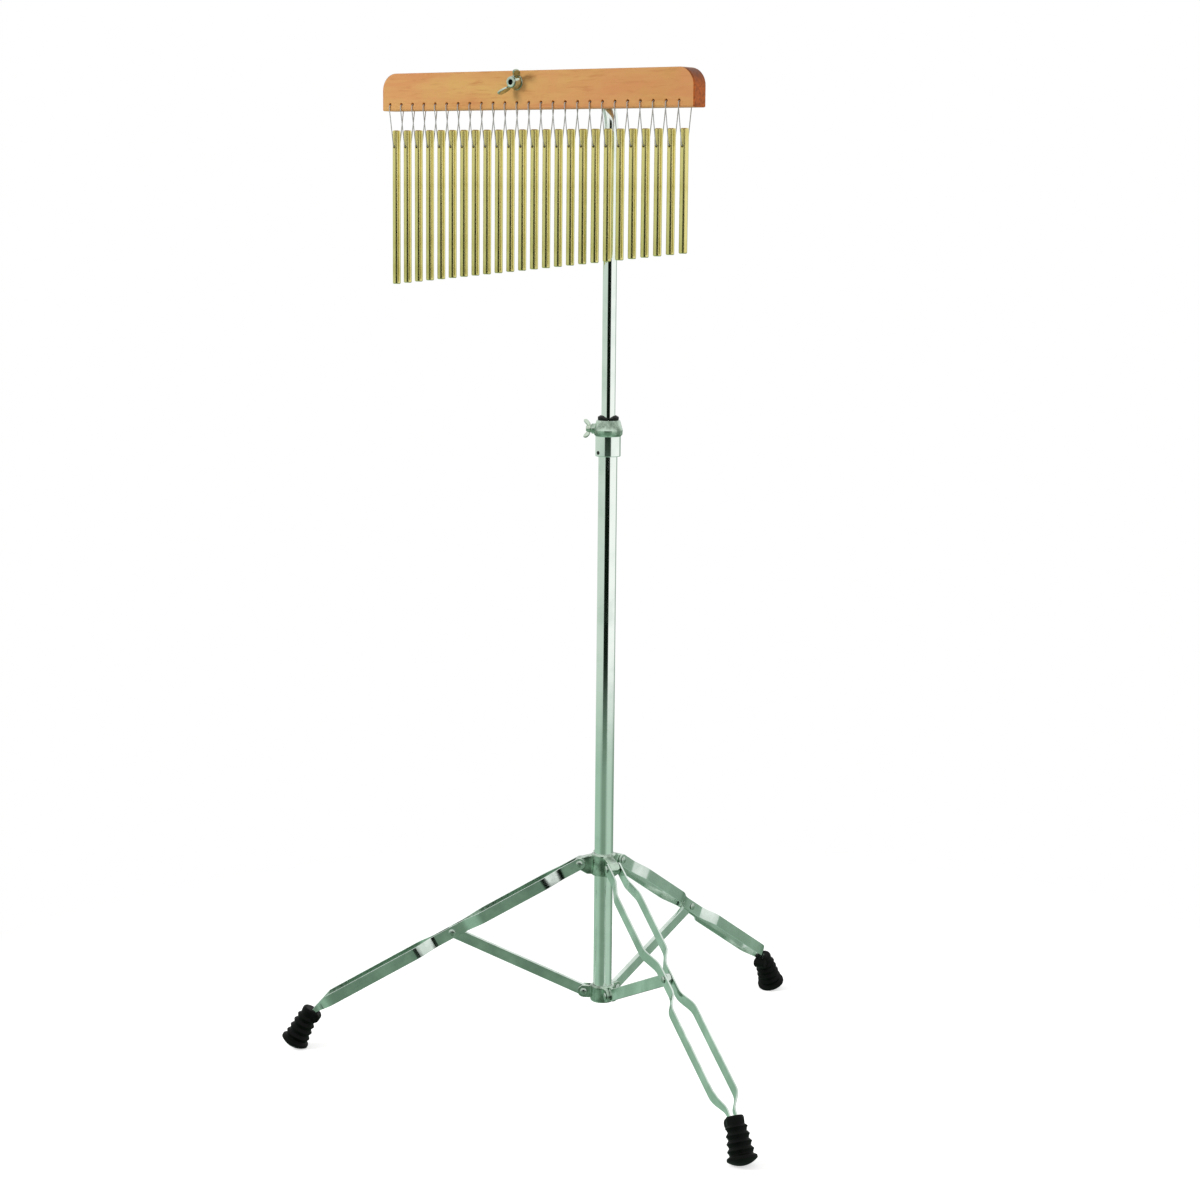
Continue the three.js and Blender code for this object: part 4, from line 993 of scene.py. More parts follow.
def moulded(name, colour_main, colour_worn, rough, scale, relief, sheen):
    """Black rubber, plastic or oiled steel with a fine skin and pale wear."""
    if name in bpy.data.materials:
        return bpy.data.materials[name]
    material, tree, shader, place = new_material(name)
    shader.inputs["Specular IOR Level"].default_value = sheen
    handled = group_node(tree, handled_group(), [("Vector", place), ("Scale", scale), ("Coverage", 0.42)])
    worn = math_node(tree, "MULTIPLY", handled.outputs["Blotches"], 0.6)
    specked = math_node(tree, "MULTIPLY", handled.outputs["Specks"], 0.25)
    mask = math_node(tree, "ADD", worn, specked)
    tree.links.new(blended(tree, mask, colour_main, colour_worn), shader.inputs["Base Color"])
    tree.links.new(remap(tree, mask, 0.0, 1.0, *rough, kind="LINEAR"), shader.inputs["Roughness"])
    bumped(tree, shader, handled.outputs["Specks"], relief, 0.12 * MM)
    return material


def rubber_material():
    """The feet's black rubber."""
    s = settings().feet
    return moulded("look_foot_rubber", s.rubber, s.dust, (0.45, 0.7), 90.0, 0.35, 0.1)


def plastic_material():
    """The black plastic of the bushing and the saddle."""
    s = settings().clamp
    return moulded("look_black_plastic", s.plastic, s.plastic_worn, (0.34, 0.6), 160.0, 0.2, 0.16)


def dark_steel_and_hollow_shade_material():
    """The dark oiled steel of the thread and the sleeve's rivet, and the painted shade on the faces of the
    nut's hollow.
    """
    s = settings().bolt
    return moulded("look_oiled_steel", s.dark_steel_and_hollow_shade, s.thread_worn, (0.35, 0.6), 220.0, 0.2, 0.2)


# Pieces


class PieceOperator:
    """What all the operators share."""

    bl_options = {"REGISTER", "UNDO"}


class CHIMES_OT_rods(PieceOperator, bpy.types.Operator):
    """Makes the gold rods, each with its cross hole and chamfered ends"""

    bl_idname = "bar_chimes.rods"
    bl_label = "Chime Rods"

    def execute(self, context):
        s = settings().chime_rods
        material = gold_material()
        longest = extent(CHIMES[0])
        radius = longest.y / 2
        profile = rounded([
            (0, -longest.z),
            (radius - s.edge, -longest.z, s.edge / 3),
            (radius, s.edge - longest.z, s.edge / 3),
            (radius, -s.edge, s.edge / 3),
            (radius - s.edge, 0, s.edge / 3),
            (0, 0),
        ], closed=False)
        rod = as_object(lathe(profile, s.sides), "longest_rod")
        hole = s.hole / 2
        mouth = radius - s.hole_flare
        drill = lathe(rounded([
            (0, -2 * radius),
            (hole + s.hole_flare + radius, -2 * radius),
            (hole, -mouth, s.hole_flare),
            (hole, mouth, s.hole_flare),
            (hole + s.hole_flare + radius, 2 * radius),
            (0, 2 * radius),
        ], closed=False), 24)
        turn = Matrix.Translation((0, 0, -s.hole_below_top)) @ ALONG_Y
        cut(rod, moved(drill, turn))
        shaded(rod, material, 40)
        below_hole = -2 * s.hole_below_top
        for node in CHIMES:
            low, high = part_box(node)
            mesh = rod.data.copy()
            shorter = longest.z - (high.z - low.z)
            for v in mesh.vertices:
                if v.co.z < below_hole:
                    v.co.z += shorter
            piece = bpy.data.objects.new(f"gold_rod_{node[-2:]}", mesh)
            bpy.context.scene.collection.objects.link(piece)
            centre = (low + high) / 2 - AXIS
            placed(piece, Matrix.Translation((centre.x, centre.y, high.z)), node)
        bpy.data.objects.remove(rod)
        return {"FINISHED"}


class CHIMES_OT_wood_bar(PieceOperator, bpy.types.Operator):
    """Makes the wooden bar with its rounded upper corners and drilled holes"""

    bl_idname = "bar_chimes.wood_bar"
    bl_label = "Wooden Bar"

    def execute(self, context):
        s = settings().wood_bar
        low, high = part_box("wood_bar")
        length, thick, tall = high - low
        half = length / 2
        outline = rounded([
            (-half, 0, s.foot), (half, 0, s.foot), (half, tall, s.corner), (-half, tall, s.corner),
        ])
        bar = as_object(plate(outline, thick, s.edge, 4), "grained_bar")
        centre = (low + high) / 2
        flare = s.hole_flare

        def drill(x, z, diameter):
            r = diameter / 2
            mouth = thick / 2 - flare
            wide = r + flare + thick / 2
            profile = [(0, -thick), (wide, -thick), (r, -mouth), (r, mouth), (wide, thick), (0, thick)]
            return moved(lathe(profile, 20), Matrix.Translation((x, 0, z)) @ ALONG_Y)

        places = [(middle(node).x - centre.x, s.cord_hole_height, s.cord_hole) for node in CHIMES]
        tubes = settings().tubes
        places.append((AXIS.x - tubes.arm_reach - centre.x, tubes.arm_height - low.z, s.bolt_hole))
        cut(bar, *[drill(x, z, diameter) for x, z, diameter in places])
        shaded(bar, wood_material(), 30)
        bar.data.materials.append(hole_material())
        for face in bar.data.polygons:
            p = face.center
            near = any(hypot(p.x - x, p.z - z) < d / 2 + 1.05 * flare for x, z, d in places)
            if near and abs(face.normal.y) < 0.9:
                face.material_index = 1
        weighted(bar)
        placed(bar, Matrix.Translation((centre.x - AXIS.x, centre.y - AXIS.y, low.z)), "wood_bar")
        return {"FINISHED"}


class CHIMES_OT_cord(PieceOperator, bpy.types.Operator):
    """Laces the cord through the bar and the rods"""

    bl_idname = "bar_chimes.cord"
    bl_label = "Hanging Cord"

    def execute(self, context):
        s, bar, rods = settings().cord, settings().wood_bar, settings().chime_rods
        low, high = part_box("wood_bar")
        row_y = (low.y + high.y) / 2
        around = (s.diameter / 2 + GAP) * 2 ** 0.5
        lip = low.z + bar.cord_hole_height - bar.cord_hole / 2
        rod_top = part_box(CHIMES[0])[1].z
        rod_side = extent(CHIMES[0]).y / 2
        rod_lip = rod_top - rods.hole_below_top + rods.hole / 2
        front, back = low.y - around, high.y + around
        edge = low.z + bar.edge
        run = lip - s.run_below_hole
        points = []
        for i, node in enumerate(CHIMES):
            x = middle(node).x
            points += [
                Vector((x, back, lip)),
                Vector((x, high.y, lip + around)),
                Vector((x, low.y, lip + around)),
                Vector((x, front, lip)),
                Vector((x, front, edge)),
                Vector((x, row_y - rod_side - around, rod_lip)),
                Vector((x, row_y - rod_side, rod_lip - around)),
                Vector((x, row_y + rod_side, rod_lip - around)),
                Vector((x, row_y + rod_side + around, rod_lip)),
                Vector((x, back, edge)),
                Vector((x, back, run)),
            ]
            if i < len(CHIMES) - 1:
                points.append(Vector((middle(CHIMES[i + 1]).x, back, run)))
        line = [p - AXIS for p in self.eased(points, s.diameter)]
        cord = sweep(line, s.diameter / 2, s.sides)
        out = Vector((0, s.knot / 2 + GAP - around, 0))
        knots = [self.knot(end + out, s) for end in (line[0], line[-1])]
        piece = as_object(together(cord, *knots), "laced_cord")
        shaded(piece, cord_material(), 60)
        placed(piece, Matrix.Identity(4), "hanging_cord")
        return {"FINISHED"}

    def eased(self, points, reach):
        """The route with each corner turned in a few small steps."""
        steps = 4
        made = [points[0]]
        for a, b, c in zip(points, points[1:], points[2:]):
            before = min(reach, (a - b).length * 0.45)
            after = min(reach, (c - b).length * 0.45)
            start = b + (a - b).normalized() * before
            end = b + (c - b).normalized() * after
            for k in range(steps + 1):
                t = k / steps
                made.append(start * (1 - t) ** 2 + b * 2 * t * (1 - t) + end * t * t)
        made.append(points[-1])
        return made

    def knot(self, centre, s):
        """An overhand knot: the cord wound about itself."""
        points = []
        steps = 48
        for k in range(steps + 1):
            t = 2 * pi * k / steps
            reach = (s.knot - s.diameter) / 2
            r = reach * (0.62 + 0.38 * cos(3 * t))
            points.append(centre + Vector((r * cos(2 * t), reach * 0.8 * sin(3 * t), r * sin(2 * t))))
        return sweep(points, s.diameter / 2, s.sides)


def wing_solids(hub, hub_length, span, height, thickness):
    """A wing head about Z: its hub and two wings along X, as separate solids."""
    r = hub / 2
    body = lathe(rounded([
        (0, 0),
        (r, 0, 0.6 * MM),
        (r, hub_length * 0.25, 1.5 * MM),
        (hub * 0.36, hub_length, 0.8 * MM),
        (0, hub_length),
    ], closed=False), 64)
    root, tip = hub * 0.3, span / 2
    start = (root, hub_length * 0.12)
    outline = [Vector(start)]
    for pull, end in (
        ((tip * 0.75, hub_length * 0.1), (tip, height * 0.62)),
        ((tip * 1.01, height), (tip * 0.86, height)),
        ((tip * 0.66, height), (hub * 0.4, hub_length * 0.8)),
    ):
        outline += quadratic(outline[-1], pull, end)
    outline.append(Vector((root, hub_length * 0.8)))
    wings = []
    for turn in (0, pi):
        wing = plate(outline, thickness, thickness * 0.34, 3)
        wings.append(moved(wing, Matrix.Rotation(turn, 4, "Z")))
    return [body, *wings]


def threaded(diameter, low, high, pitch, depth):
    """A threaded end about Z, as a row of crests."""
    r = diameter / 2
    points = [(0, low), (r, low)]
    turns = max(1, int((high - low) / pitch))
    step = (high - low) / turns
    for k in range(turns):
        points.append((r, low + (k + 0.2) * step))
        points.append((r - depth, low + (k + 0.6) * step))
        points.append((r - depth * 0.3, low + (k + 0.95) * step))
    points += [(r - depth, high), (0, high)]
    return lathe(points, 48)


def bolt_matrix():
    """From the bolt's own axes, +Z out of the front of the bar, to the stand's."""
    s = settings().tubes
    return Matrix.Translation((-s.arm_reach, 0, s.arm_height)) @ ALONG_Y


class CHIMES_OT_bar_bolt(PieceOperator, bpy.types.Operator):
    """Makes the bolt, washer and wing nut that hold the bar"""

    bl_idname = "bar_chimes.bar_bolt"
    bl_label = "Bolt, Washer and Wing Nut"

    def execute(self, context):
        s = settings().bolt
        seat = AXIS.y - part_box("bar_wing_nut")[1].y
        recess_floor = s.hub_length - s.recess_depth
        self.bolt(s, seat + recess_floor)
        self.washer(s)
        self.nut(s, seat, recess_floor)
        return {"FINISHED"}

    def bolt(self, s, recess_floor):
        """The carriage bolt, whose thread ends just above the floor of the nut's hollow."""
        low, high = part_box("bar_bolt")
        bottom, top = AXIS.y - high.y, AXIS.y - low.y
        head, r = s.head / 2, s.bolt / 2
        under = bottom + s.head_height
        shank_end = AXIS.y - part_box("wood_bar")[0].y
        shank = lathe(rounded([
            (0, bottom),
            (head * 0.72, bottom, 2.0 * MM),
            (head, bottom + s.head_height * 0.62, 0.8 * MM),
            (head, under, 0.3 * MM),
            (r, under),
            (r, shank_end),
            (0, shank_end),
        ], closed=False), 64)
        top = min(top, recess_floor + s.pitch)
        bolt = as_object(shank, "carriage_bolt")
        boolean(bolt, threaded(s.bolt, shank_end - s.pitch, top, s.pitch, s.thread), "UNION")
        shaded(bolt, screw_chrome_material(), 32)
        bolt.data.materials.append(dark_steel_and_hollow_shade_material())
        for face in bolt.data.polygons:
            if face.center.z > shank_end:
                face.material_index = 1
        placed(bolt, bolt_matrix(), "bar_bolt")

    def washer(self, s):
        """The plain washer between the bar and the nut."""
        low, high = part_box("bar_washer")
        bottom, top = AXIS.y - high.y, AXIS.y - low.y
        outer, bore = (high.x - low.x) / 2, s.bolt / 2 + GAP
        edge = s.washer_edge
        ring = lathe(rounded([
            (bore, bottom, edge), (outer, bottom, edge), (outer, top, edge * 1.6), (bore, top, edge),
        ]), 72, closed=True)
        washer = as_object(ring, "plain_washer")
        shaded(washer, screw_chrome_material(), 40)
        placed(washer, bolt_matrix(), "bar_washer")

    def nut(self, s, seat, recess_floor):
        """The cast wing nut, with painted shade on the faces of its hollow."""
        solids = wing_solids(s.hub, s.hub_length, s.span, s.height, s.wing)
        bore = pin(s.bolt + 2 * GAP, -s.height, s.height)
        past_face = s.hub_length + 0.5 * MM
        recess = lathe([
            (0, recess_floor),
            (s.recess / 2 - 1.2 * MM, recess_floor),
            (s.recess / 2, past_face),
            (0, past_face),
        ], 48)
        nut = cast("wing_nut", solids, s.voxel, 5, [together(bore, recess)])
        shaded(nut, screw_chrome_material(), 38)
        nut.data.materials.append(dark_steel_and_hollow_shade_material())
        # The faces of the hollow get the near-black steel: painted shade
        for face in nut.data.polygons:
            inside = hypot(face.center.x, face.center.y) < s.recess / 2
            if inside and recess_floor - GAP < face.center.z < s.hub_length - 0.6 * MM:
                face.material_index = 1
        nut.data.transform(Matrix.Rotation(s.turn, 4, "Z"))
        placed(nut, bolt_matrix() @ Matrix.Translation((0, 0, seat)), "bar_wing_nut")


class CHIMES_OT_saddle(PieceOperator, bpy.types.Operator):
    """Makes the plastic saddle between the arm and the bar"""

    bl_idname = "bar_chimes.saddle"
    bl_label = "Arm Saddle"

    def execute(self, context):
        s, bolt = settings().tubes, settings().bolt
        low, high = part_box("arm_saddle")
        body = as_object(pin(s.saddle, AXIS.y - high.y, AXIS.y - low.y, 72, 0.7 * MM), "saddle_block")
        arm = moved(pin(s.upper + 2 * GAP, -s.saddle, s.saddle, 72), ALONG_X)
        cut(body, arm)
        cut(body, pin(bolt.bolt + 2 * GAP, -s.saddle, s.saddle))
        shaded(body, plastic_material(), 35)
        placed(body, bolt_matrix(), "arm_saddle")
        return {"FINISHED"}


class CHIMES_OT_upper_tube(PieceOperator, bpy.types.Operator):
    """Makes the upper tube with its bend into the side arm"""

    bl_idname = "bar_chimes.upper_tube"
    bl_label = "Upper Tube"

    def execute(self, context):
        s, bolt = settings().tubes, settings().bolt
        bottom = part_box("upper_tube")[0].z
        line = [Vector((0, 0, bottom)), Vector((0, 0, bottom + s.rim))]
        steps = 28
        for k in range(steps + 1):
            turn = k / steps * pi / 2
            line.append(Vector((-s.bend * (1 - cos(turn)), 0, s.arm_height - s.bend * (1 - sin(turn)))))
        end = -s.arm_reach - s.past_bolt
        line.append(Vector((end + s.rim, 0, s.arm_height)))
        line.append(Vector((end, 0, s.arm_height)))
        tube = as_object(self.hollow(line, s), "bent_tube")
        drill = pin(bolt.bolt + 2 * GAP, -s.upper, s.upper, 32)
        cut(tube, moved(drill, bolt_matrix()))
        shaded(tube, chrome_tube_material(), 35)
        placed(tube, Matrix.Identity(4), "upper_tube")
        return {"FINISHED"}

    def hollow(self, line, s):
        """A tube with its wall along a line in X and Z."""
        bm = bmesh.new()
        outer, inner = s.upper / 2, s.upper / 2 - s.wall
        last = len(line) - 1
        rings = []
        for radius, order, ease in ((outer, range(last + 1), s.rim), (inner, range(last, -1, -1), 0)):
            for i in order:
                here = line[i]
                along = (line[min(i + 1, last)] - line[max(i - 1, 0)]).normalized()
                across = Vector((0, 1, 0))
                up = along.cross(across)
                r = radius - ease if i in (0, last) else radius
                turns = [2 * pi * k / s.sides for k in range(s.sides)]
                rings.append([bm.verts.new(here + r * (cos(t) * across + sin(t) * up)) for t in turns])
        for low, high in zip(rings, rings[1:] + rings[:1]):
            for k in range(s.sides):
                j = (k + 1) % s.sides
                bm.faces.new([low[k], low[j], high[j], high[k]])
        bmesh.ops.recalc_face_normals(bm, faces=bm.faces)
        return bm


class CHIMES_OT_lower_tube(PieceOperator, bpy.types.Operator):
    """Makes the lower tube"""

    bl_idname = "bar_chimes.lower_tube"
    bl_label = "Lower Tube"

    def execute(self, context):
        s = settings().tubes
        low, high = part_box("lower_tube")
        r, bore = s.lower / 2, s.lower / 2 - s.wall
        profile = rounded([(bore, low.z), (r, low.z, s.rim), (r, high.z, s.rim), (bore, high.z)])
        tube = as_object(lathe(profile, s.sides, closed=True), "straight_tube")
        shaded(tube, chrome_tube_material(), 35)
        placed(tube, Matrix.Identity(4), "lower_tube")
        return {"FINISHED"}


def sideways(turn, height, out=0.0):
    """From a pin's own axes to the stand's: level at a height, with +Z pointing out at a bearing."""
    return Matrix.Rotation(turn, 4, "Z") @ Matrix.Translation((out, 0, height)) @ ALONG_X


def boss_solid(diameter, reach, height, turn):
    """A round boss that stands out level from the tube's axis."""
    return moved(pin(diameter, 0, reach, 48, 1.0 * MM), sideways(turn, height))


def screw_hole(reach, height, turn):
    """The hole of a wing screw, level from the tube's axis."""
    return moved(pin(settings().bolt.bolt + 2 * GAP, 0, 2 * reach, 32), sideways(turn, height))


def wing_screw(name, node, boss, pressed, wings):
    """A wing screw in a boss of a given bearing, reach and height.

    Its wings are outside, and its shank ends at the radius of what it presses on.
    """
    s = settings().bolt
    bearing, reach, height = boss
    solids = wing_solids(s.screw_hub, s.screw_hub_length, s.screw_span, s.screw_height, s.wing)
    screw = cast(name, solids, s.voxel * 0.8, 4)
    boolean(screw, threaded(s.bolt, pressed - reach, s.screw_hub_length / 2, s.pitch, s.thread), "UNION")
    shaded(screw, screw_chrome_material(), 36)
    placed(screw, sideways(bearing, height, reach + GAP) @ Matrix.Rotation(wings, 4, "Z"), node)


class CHIMES_OT_height_clamp(PieceOperator, bpy.types.Operator):
    """Makes the height clamp, its bushing, its wing screw and the rivet in its sleeve"""

    bl_idname = "bar_chimes.height_clamp"
    bl_label = "Height Clamp"

    def execute(self, context):
        s, tubes = settings().clamp, settings().tubes
        low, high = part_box("height_clamp")
        sleeve, head, neck = s.sleeve / 2, s.head / 2, s.neck / 2
        tall = high.z - s.head_from
        screw_height = s.head_from + tall * s.screw_share
        body = lathe(rounded([
            (0, low.z),
            (sleeve, low.z, 0.9 * MM),
            (sleeve, s.head_from - 1.6 * MM, 0.8 * MM),
            (head - 0.4 * MM, s.head_from + 0.4 * MM, 1.2 * MM),
            (head, s.head_from + tall * 0.32, 1.0 * MM),
            (head - 1.0 * MM, s.head_from + tall * 0.5, 1.0 * MM),
            (neck + 0.6 * MM, high.z - 1.4 * MM, 1.0 * MM),
            (neck, high.z, 0.5 * MM),
            (0, high.z),
        ], closed=False), 120)
        clamp = as_object(body, "cast_clamp")
        boolean(clamp, boss_solid(s.boss, s.boss_reach, screw_height, s.boss_angle), "UNION")
        lower_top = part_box("lower_tube")[1].z
        cut(clamp, pin(tubes.lower + 2 * GAP, low.z - s.head, lower_top + GAP, 96))
        cut(clamp, pin(s.bushing + 2 * GAP, lower_top, high.z + s.head, 96))
        cut(clamp, screw_hole(s.boss_reach, screw_height, s.boss_angle))
        shaded(clamp, chrome_tube_material(), 32)
        clamp.data.materials.append(cast_chrome_material())
        for face in clamp.data.polygons:
            if face.center.z > s.head_from - 1.0 * MM:
                face.material_index = 1
        placed(clamp, Matrix.Identity(4), "height_clamp")
        self.bushing()
        wings = settings().bolt.clamp_turn
        boss = (s.boss_angle, s.boss_reach, screw_height)
        wing_screw("clamp_wings", "clamp_wing_bolt", boss, s.bushing / 2, wings)
        self.sleeve_rivet()
        return {"FINISHED"}

    def bushing(self):
        """The slit bushing, whose rim dips on both sides of its slit."""
        s, tubes = settings().clamp, settings().tubes
        low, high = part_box("height_bushing")
        bore, body, rim = tubes.upper / 2 + GAP, s.bushing / 2, s.rim / 2
        seat = high.z - s.rim_height
        ring = lathe(rounded([
            (bore, low.z),
            (body, low.z, 0.4 * MM),
            (body, seat),
            (rim, seat, 0.5 * MM),
            (rim, high.z - s.rim_height * 0.3, 0.9 * MM),
            (bore + 1.2 * MM, high.z, 0.4 * MM),
            (bore, high.z),
        ]), 144, closed=True)
        for v in ring.verts:
            if v.co.z > seat + 0.1 * MM:
                off = abs((atan2(v.co.y, v.co.x) - s.slit_angle + pi) % (2 * pi) - pi)
                dip = s.rim_dip * (0.5 + 0.5 * cos(min(off / s.dip_spread, 1.0) * pi))
                v.co.z -= dip * (v.co.z - seat) / s.rim_height
        piece = as_object(ring, "slit_bushing")
        slit = block((0, -s.slit / 2, low.z - 1 * MM), (rim + 1 * MM, s.slit / 2, high.z + 1 * MM))
        cut(piece, moved(slit, Matrix.Rotation(s.slit_angle, 4, "Z")))
        shaded(piece, plastic_material(), 40)
        placed(piece, Matrix.Identity(4), "height_bushing")

    def sleeve_rivet(self):
        """The small rivet that fixes the sleeve on the tube."""
        s = settings().clamp
        r = s.rivet / 2
        reach = s.sleeve / 2
        dome = lathe(rounded([
            (0, reach - 0.8 * MM),
            (r, reach - 0.8 * MM),
            (r, reach + 0.3 * MM, 0.2 * MM),
            (r * 0.55, reach + 0.9 * MM, 0.6 * MM),
            (0, reach + 0.95 * MM),
        ], closed=False), 32)
        side = Matrix.Rotation(s.rivet_angle, 4, "Z") @ Matrix.Translation((0, 0, s.rivet_height))
        rivet = as_object(moved(dome, ALONG_X), "sleeve_rivet")
        shaded(rivet, dark_steel_and_hollow_shade_material(), 40)
        rivet.matrix_world = Matrix.Translation(AXIS) @ side
        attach(rivet, BODY_OF["height_clamp"])


class CHIMES_OT_leg_collar(PieceOperator, bpy.types.Operator):
    """Makes the sliding leg collar and its wing screw"""

    bl_idname = "bar_chimes.leg_collar"
    bl_label = "Leg Collar"

    def execute(self, context):
        s, legs, tubes = settings().collar, settings().legs, settings().tubes
        pivot = leg_pivot_height()
        low, high = pivot - s.below, pivot + s.above
        r = s.diameter / 2
        body = lathe(rounded([(0, low), (r, low, s.edge), (r, high, s.edge), (0, high)], closed=False), 96)
        centre = (low + high) / 2
        solids = [body, boss_solid(s.boss, s.boss_reach, centre, s.screw_angle)]
        bore = pin(tubes.lower + 2 * GAP, low - s.diameter, high + s.diameter, 96)
        holes = []
        foot, top = low + s.lug_above_foot, high - s.lug_below_top
        for name in LEG_ANGLES:
            outline = [Vector((0, foot)), Vector((r + s.lug_foot, foot))]
            outline += arc((legs.pivot, pivot), s.lug_round / 2, -45, 90)
            outline += [Vector((r, top)), Vector((0, top))]
            lug = plate(outline, s.lug, 1.2 * MM, 3)
            solids.append(moved(lug, leg_plane(name)))
            seat = leg_plane(name) @ Matrix.Translation((legs.pivot, 0, pivot))
            holes.append(moved(pin(legs.rivet + 2 * GAP, -s.lug, s.lug, 32), seat @ ALONG_Y))
        collar = cast("cast_collar", solids, s.voxel, 5, [bore])
        cut(collar, *holes)
        cut(collar, screw_hole(s.boss_reach, centre, s.screw_angle))
        shaded(collar, cast_chrome_material(), 38)
        placed(collar, Matrix.Identity(4), "leg_collar")
        boss = (s.screw_angle, s.boss_reach, centre)
        wing_screw("collar_wings", "collar_wing_bolt", boss, tubes.lower / 2, 0.0)
        return {"FINISHED"}


class CHIMES_OT_base_bracket(PieceOperator, bpy.types.Operator):
    """Makes the lower bracket with its three forks"""

    bl_idname = "bar_chimes.base_bracket"
    bl_label = "Base Bracket"

    def execute(self, context):
        s, legs, tubes = settings().collar, settings().legs, settings().tubes
        r = s.bracket / 2
        low, high = s.bracket_bottom, s.bracket_top
        profile = [(0, low), (r, low, 3.0 * MM), (r, high, 1.4 * MM), (0, high)]
        body = lathe(rounded(profile, closed=False), 96)
        inside = legs.brace_width / 2 + GAP
        outside = inside + s.cheek
        half, reach = s.fork / 2, legs.brace_pivot + s.fork
        solids, slots, holes = [body], [], []
        for name in LEG_ANGLES:
            outline = [Vector((0, -half)), Vector((legs.brace_pivot, -half))]
            outline += arc((legs.brace_pivot, 0), half, -90, 90)[1:]
            outline.append(Vector((0, half)))
            lift = leg_plane(name) @ Matrix.Translation((0, 0, legs.brace_pivot_height))
            solids.append(moved(plate(outline, 2 * outside, 0.9 * MM, 3), lift))
            slot = block((r, -inside, low - 1 * MM), (reach, inside, high + 1 * MM))
            slots.append(moved(slot, leg_plane(name)))
            seat = lift @ Matrix.Translation((legs.brace_pivot, 0, 0))
            holes.append(moved(pin(legs.rivet + 2 * GAP, -2 * outside, 2 * outside, 32), seat @ ALONG_Y))
        bore = pin(tubes.lower + 2 * GAP, low + s.bracket_floor - GAP, high + s.bracket, 96)
        bracket = cast("cast_bracket", solids, s.voxel, 4, [bore])
        cut(bracket, *slots)
        cut(bracket, *holes)
        shaded(bracket, cast_chrome_material(), 38)
        placed(bracket, Matrix.Identity(4), "base_bracket")
        return {"FINISHED"}


def strip_line():
    """A strip's line: (distance along the leg, distance from its middle, bend radius)."""
    s = settings().legs
    bend = s.bend
    return [
        (-s.strip_width, s.top_offset, 0),
        (s.top_straight, s.top_offset, bend),
        (s.upper_bend, s.wide_offset, bend),
        (s.upper_wide_end, s.wide_offset, bend),
        (s.mid - s.waist_before, s.waist_offset, bend),
        (s.mid + s.waist_after, s.waist_offset, bend),
        (s.lower_bend, s.wide_offset, bend),
        (s.lower_wide_end, s.wide_offset, bend),
        (s.bottom_straight, s.end_offset, bend * 0.6),
        (s.length + s.strip_width, s.end_offset, 0),
    ]


def strip_outline(grow=0.0):
    """The side outline of a strip, with a round top end and a nose that drops into the foot."""
    s = settings().legs
    half = s.strip_width / 2 + grow
    outline = [Vector((0, -half)), Vector((s.length + grow, -half))]
    outline.append(Vector((s.length + grow, grow - s.strip_width * 0.22)))
    outline.append(Vector((s.nose + grow, grow - s.strip_width * 0.1)))
    outline.append(Vector((s.lower_wide_end + grow, half)))
    outline += arc((0, 0), half, 90, 270)[:-1]
    return outline


class CHIMES_OT_leg_strips(PieceOperator, bpy.types.Operator):
    """Makes the six bent leg strips"""

    bl_idname = "bar_chimes.leg_strips"
    bl_label = "Leg Strips"

    def execute(self, context):
        material = leg_chrome_material()
        made = {}
        for letter, side in (("a", 1), ("b", -1)):
            strip = as_object(self.bent(side), f"strip_{letter}")
            shaded(strip, material, 30)
            made[letter] = strip
        for name in LEG_ANGLES:
            for letter, strip in made.items():
                copy = weighted(twin(strip, f"flat_strip_{name}_{letter}"))
                placed(copy, leg_matrix(name), f"leg_{name}_strip_{letter}")
        for strip in made.values():
            bpy.data.objects.remove(strip)
        return {"FINISHED"}

    def bent(self, side):
        """A flat strip, cut across near its bends and then bent."""
        s = settings().legs
        bm = plate(strip_outline(), s.strip, s.strip_edge, 2)
        line = rounded(strip_line(), closed=False)
        steps = 6
        cuts = []
        for x, _, radius in strip_line():
            if radius:
                cuts += [x + radius * k / steps for k in range(-steps, steps + 1)]
        for x in cuts:
            everything = bm.verts[:] + bm.edges[:] + bm.faces[:]
            bmesh.ops.bisect_plane(bm, geom=everything, plane_co=(x, 0, 0), plane_no=(1, 0, 0))
        near = 0.6 * MM
        for v in bm.verts:
            here = self.offset(line, v.co.x)
            slope = atan2(self.offset(line, v.co.x + near) - self.offset(line, v.co.x - near), 2 * near)
            depth = v.co.y * side
            v.co.x -= depth * sin(slope)
            v.co.y = side * (here + depth * cos(slope))
        bmesh.ops.recalc_face_normals(bm, faces=bm.faces)
        return bm

    def offset(self, line, x):
        """How far the strip's line lies from the leg's middle at a distance along it."""
        for a, b in zip(line, line[1:]):
            if x <= b.x:
                part = (x - a.x) / max(b.x - a.x, 1e-9)
                return a.y + (b.y - a.y) * part
        return line[-1].y


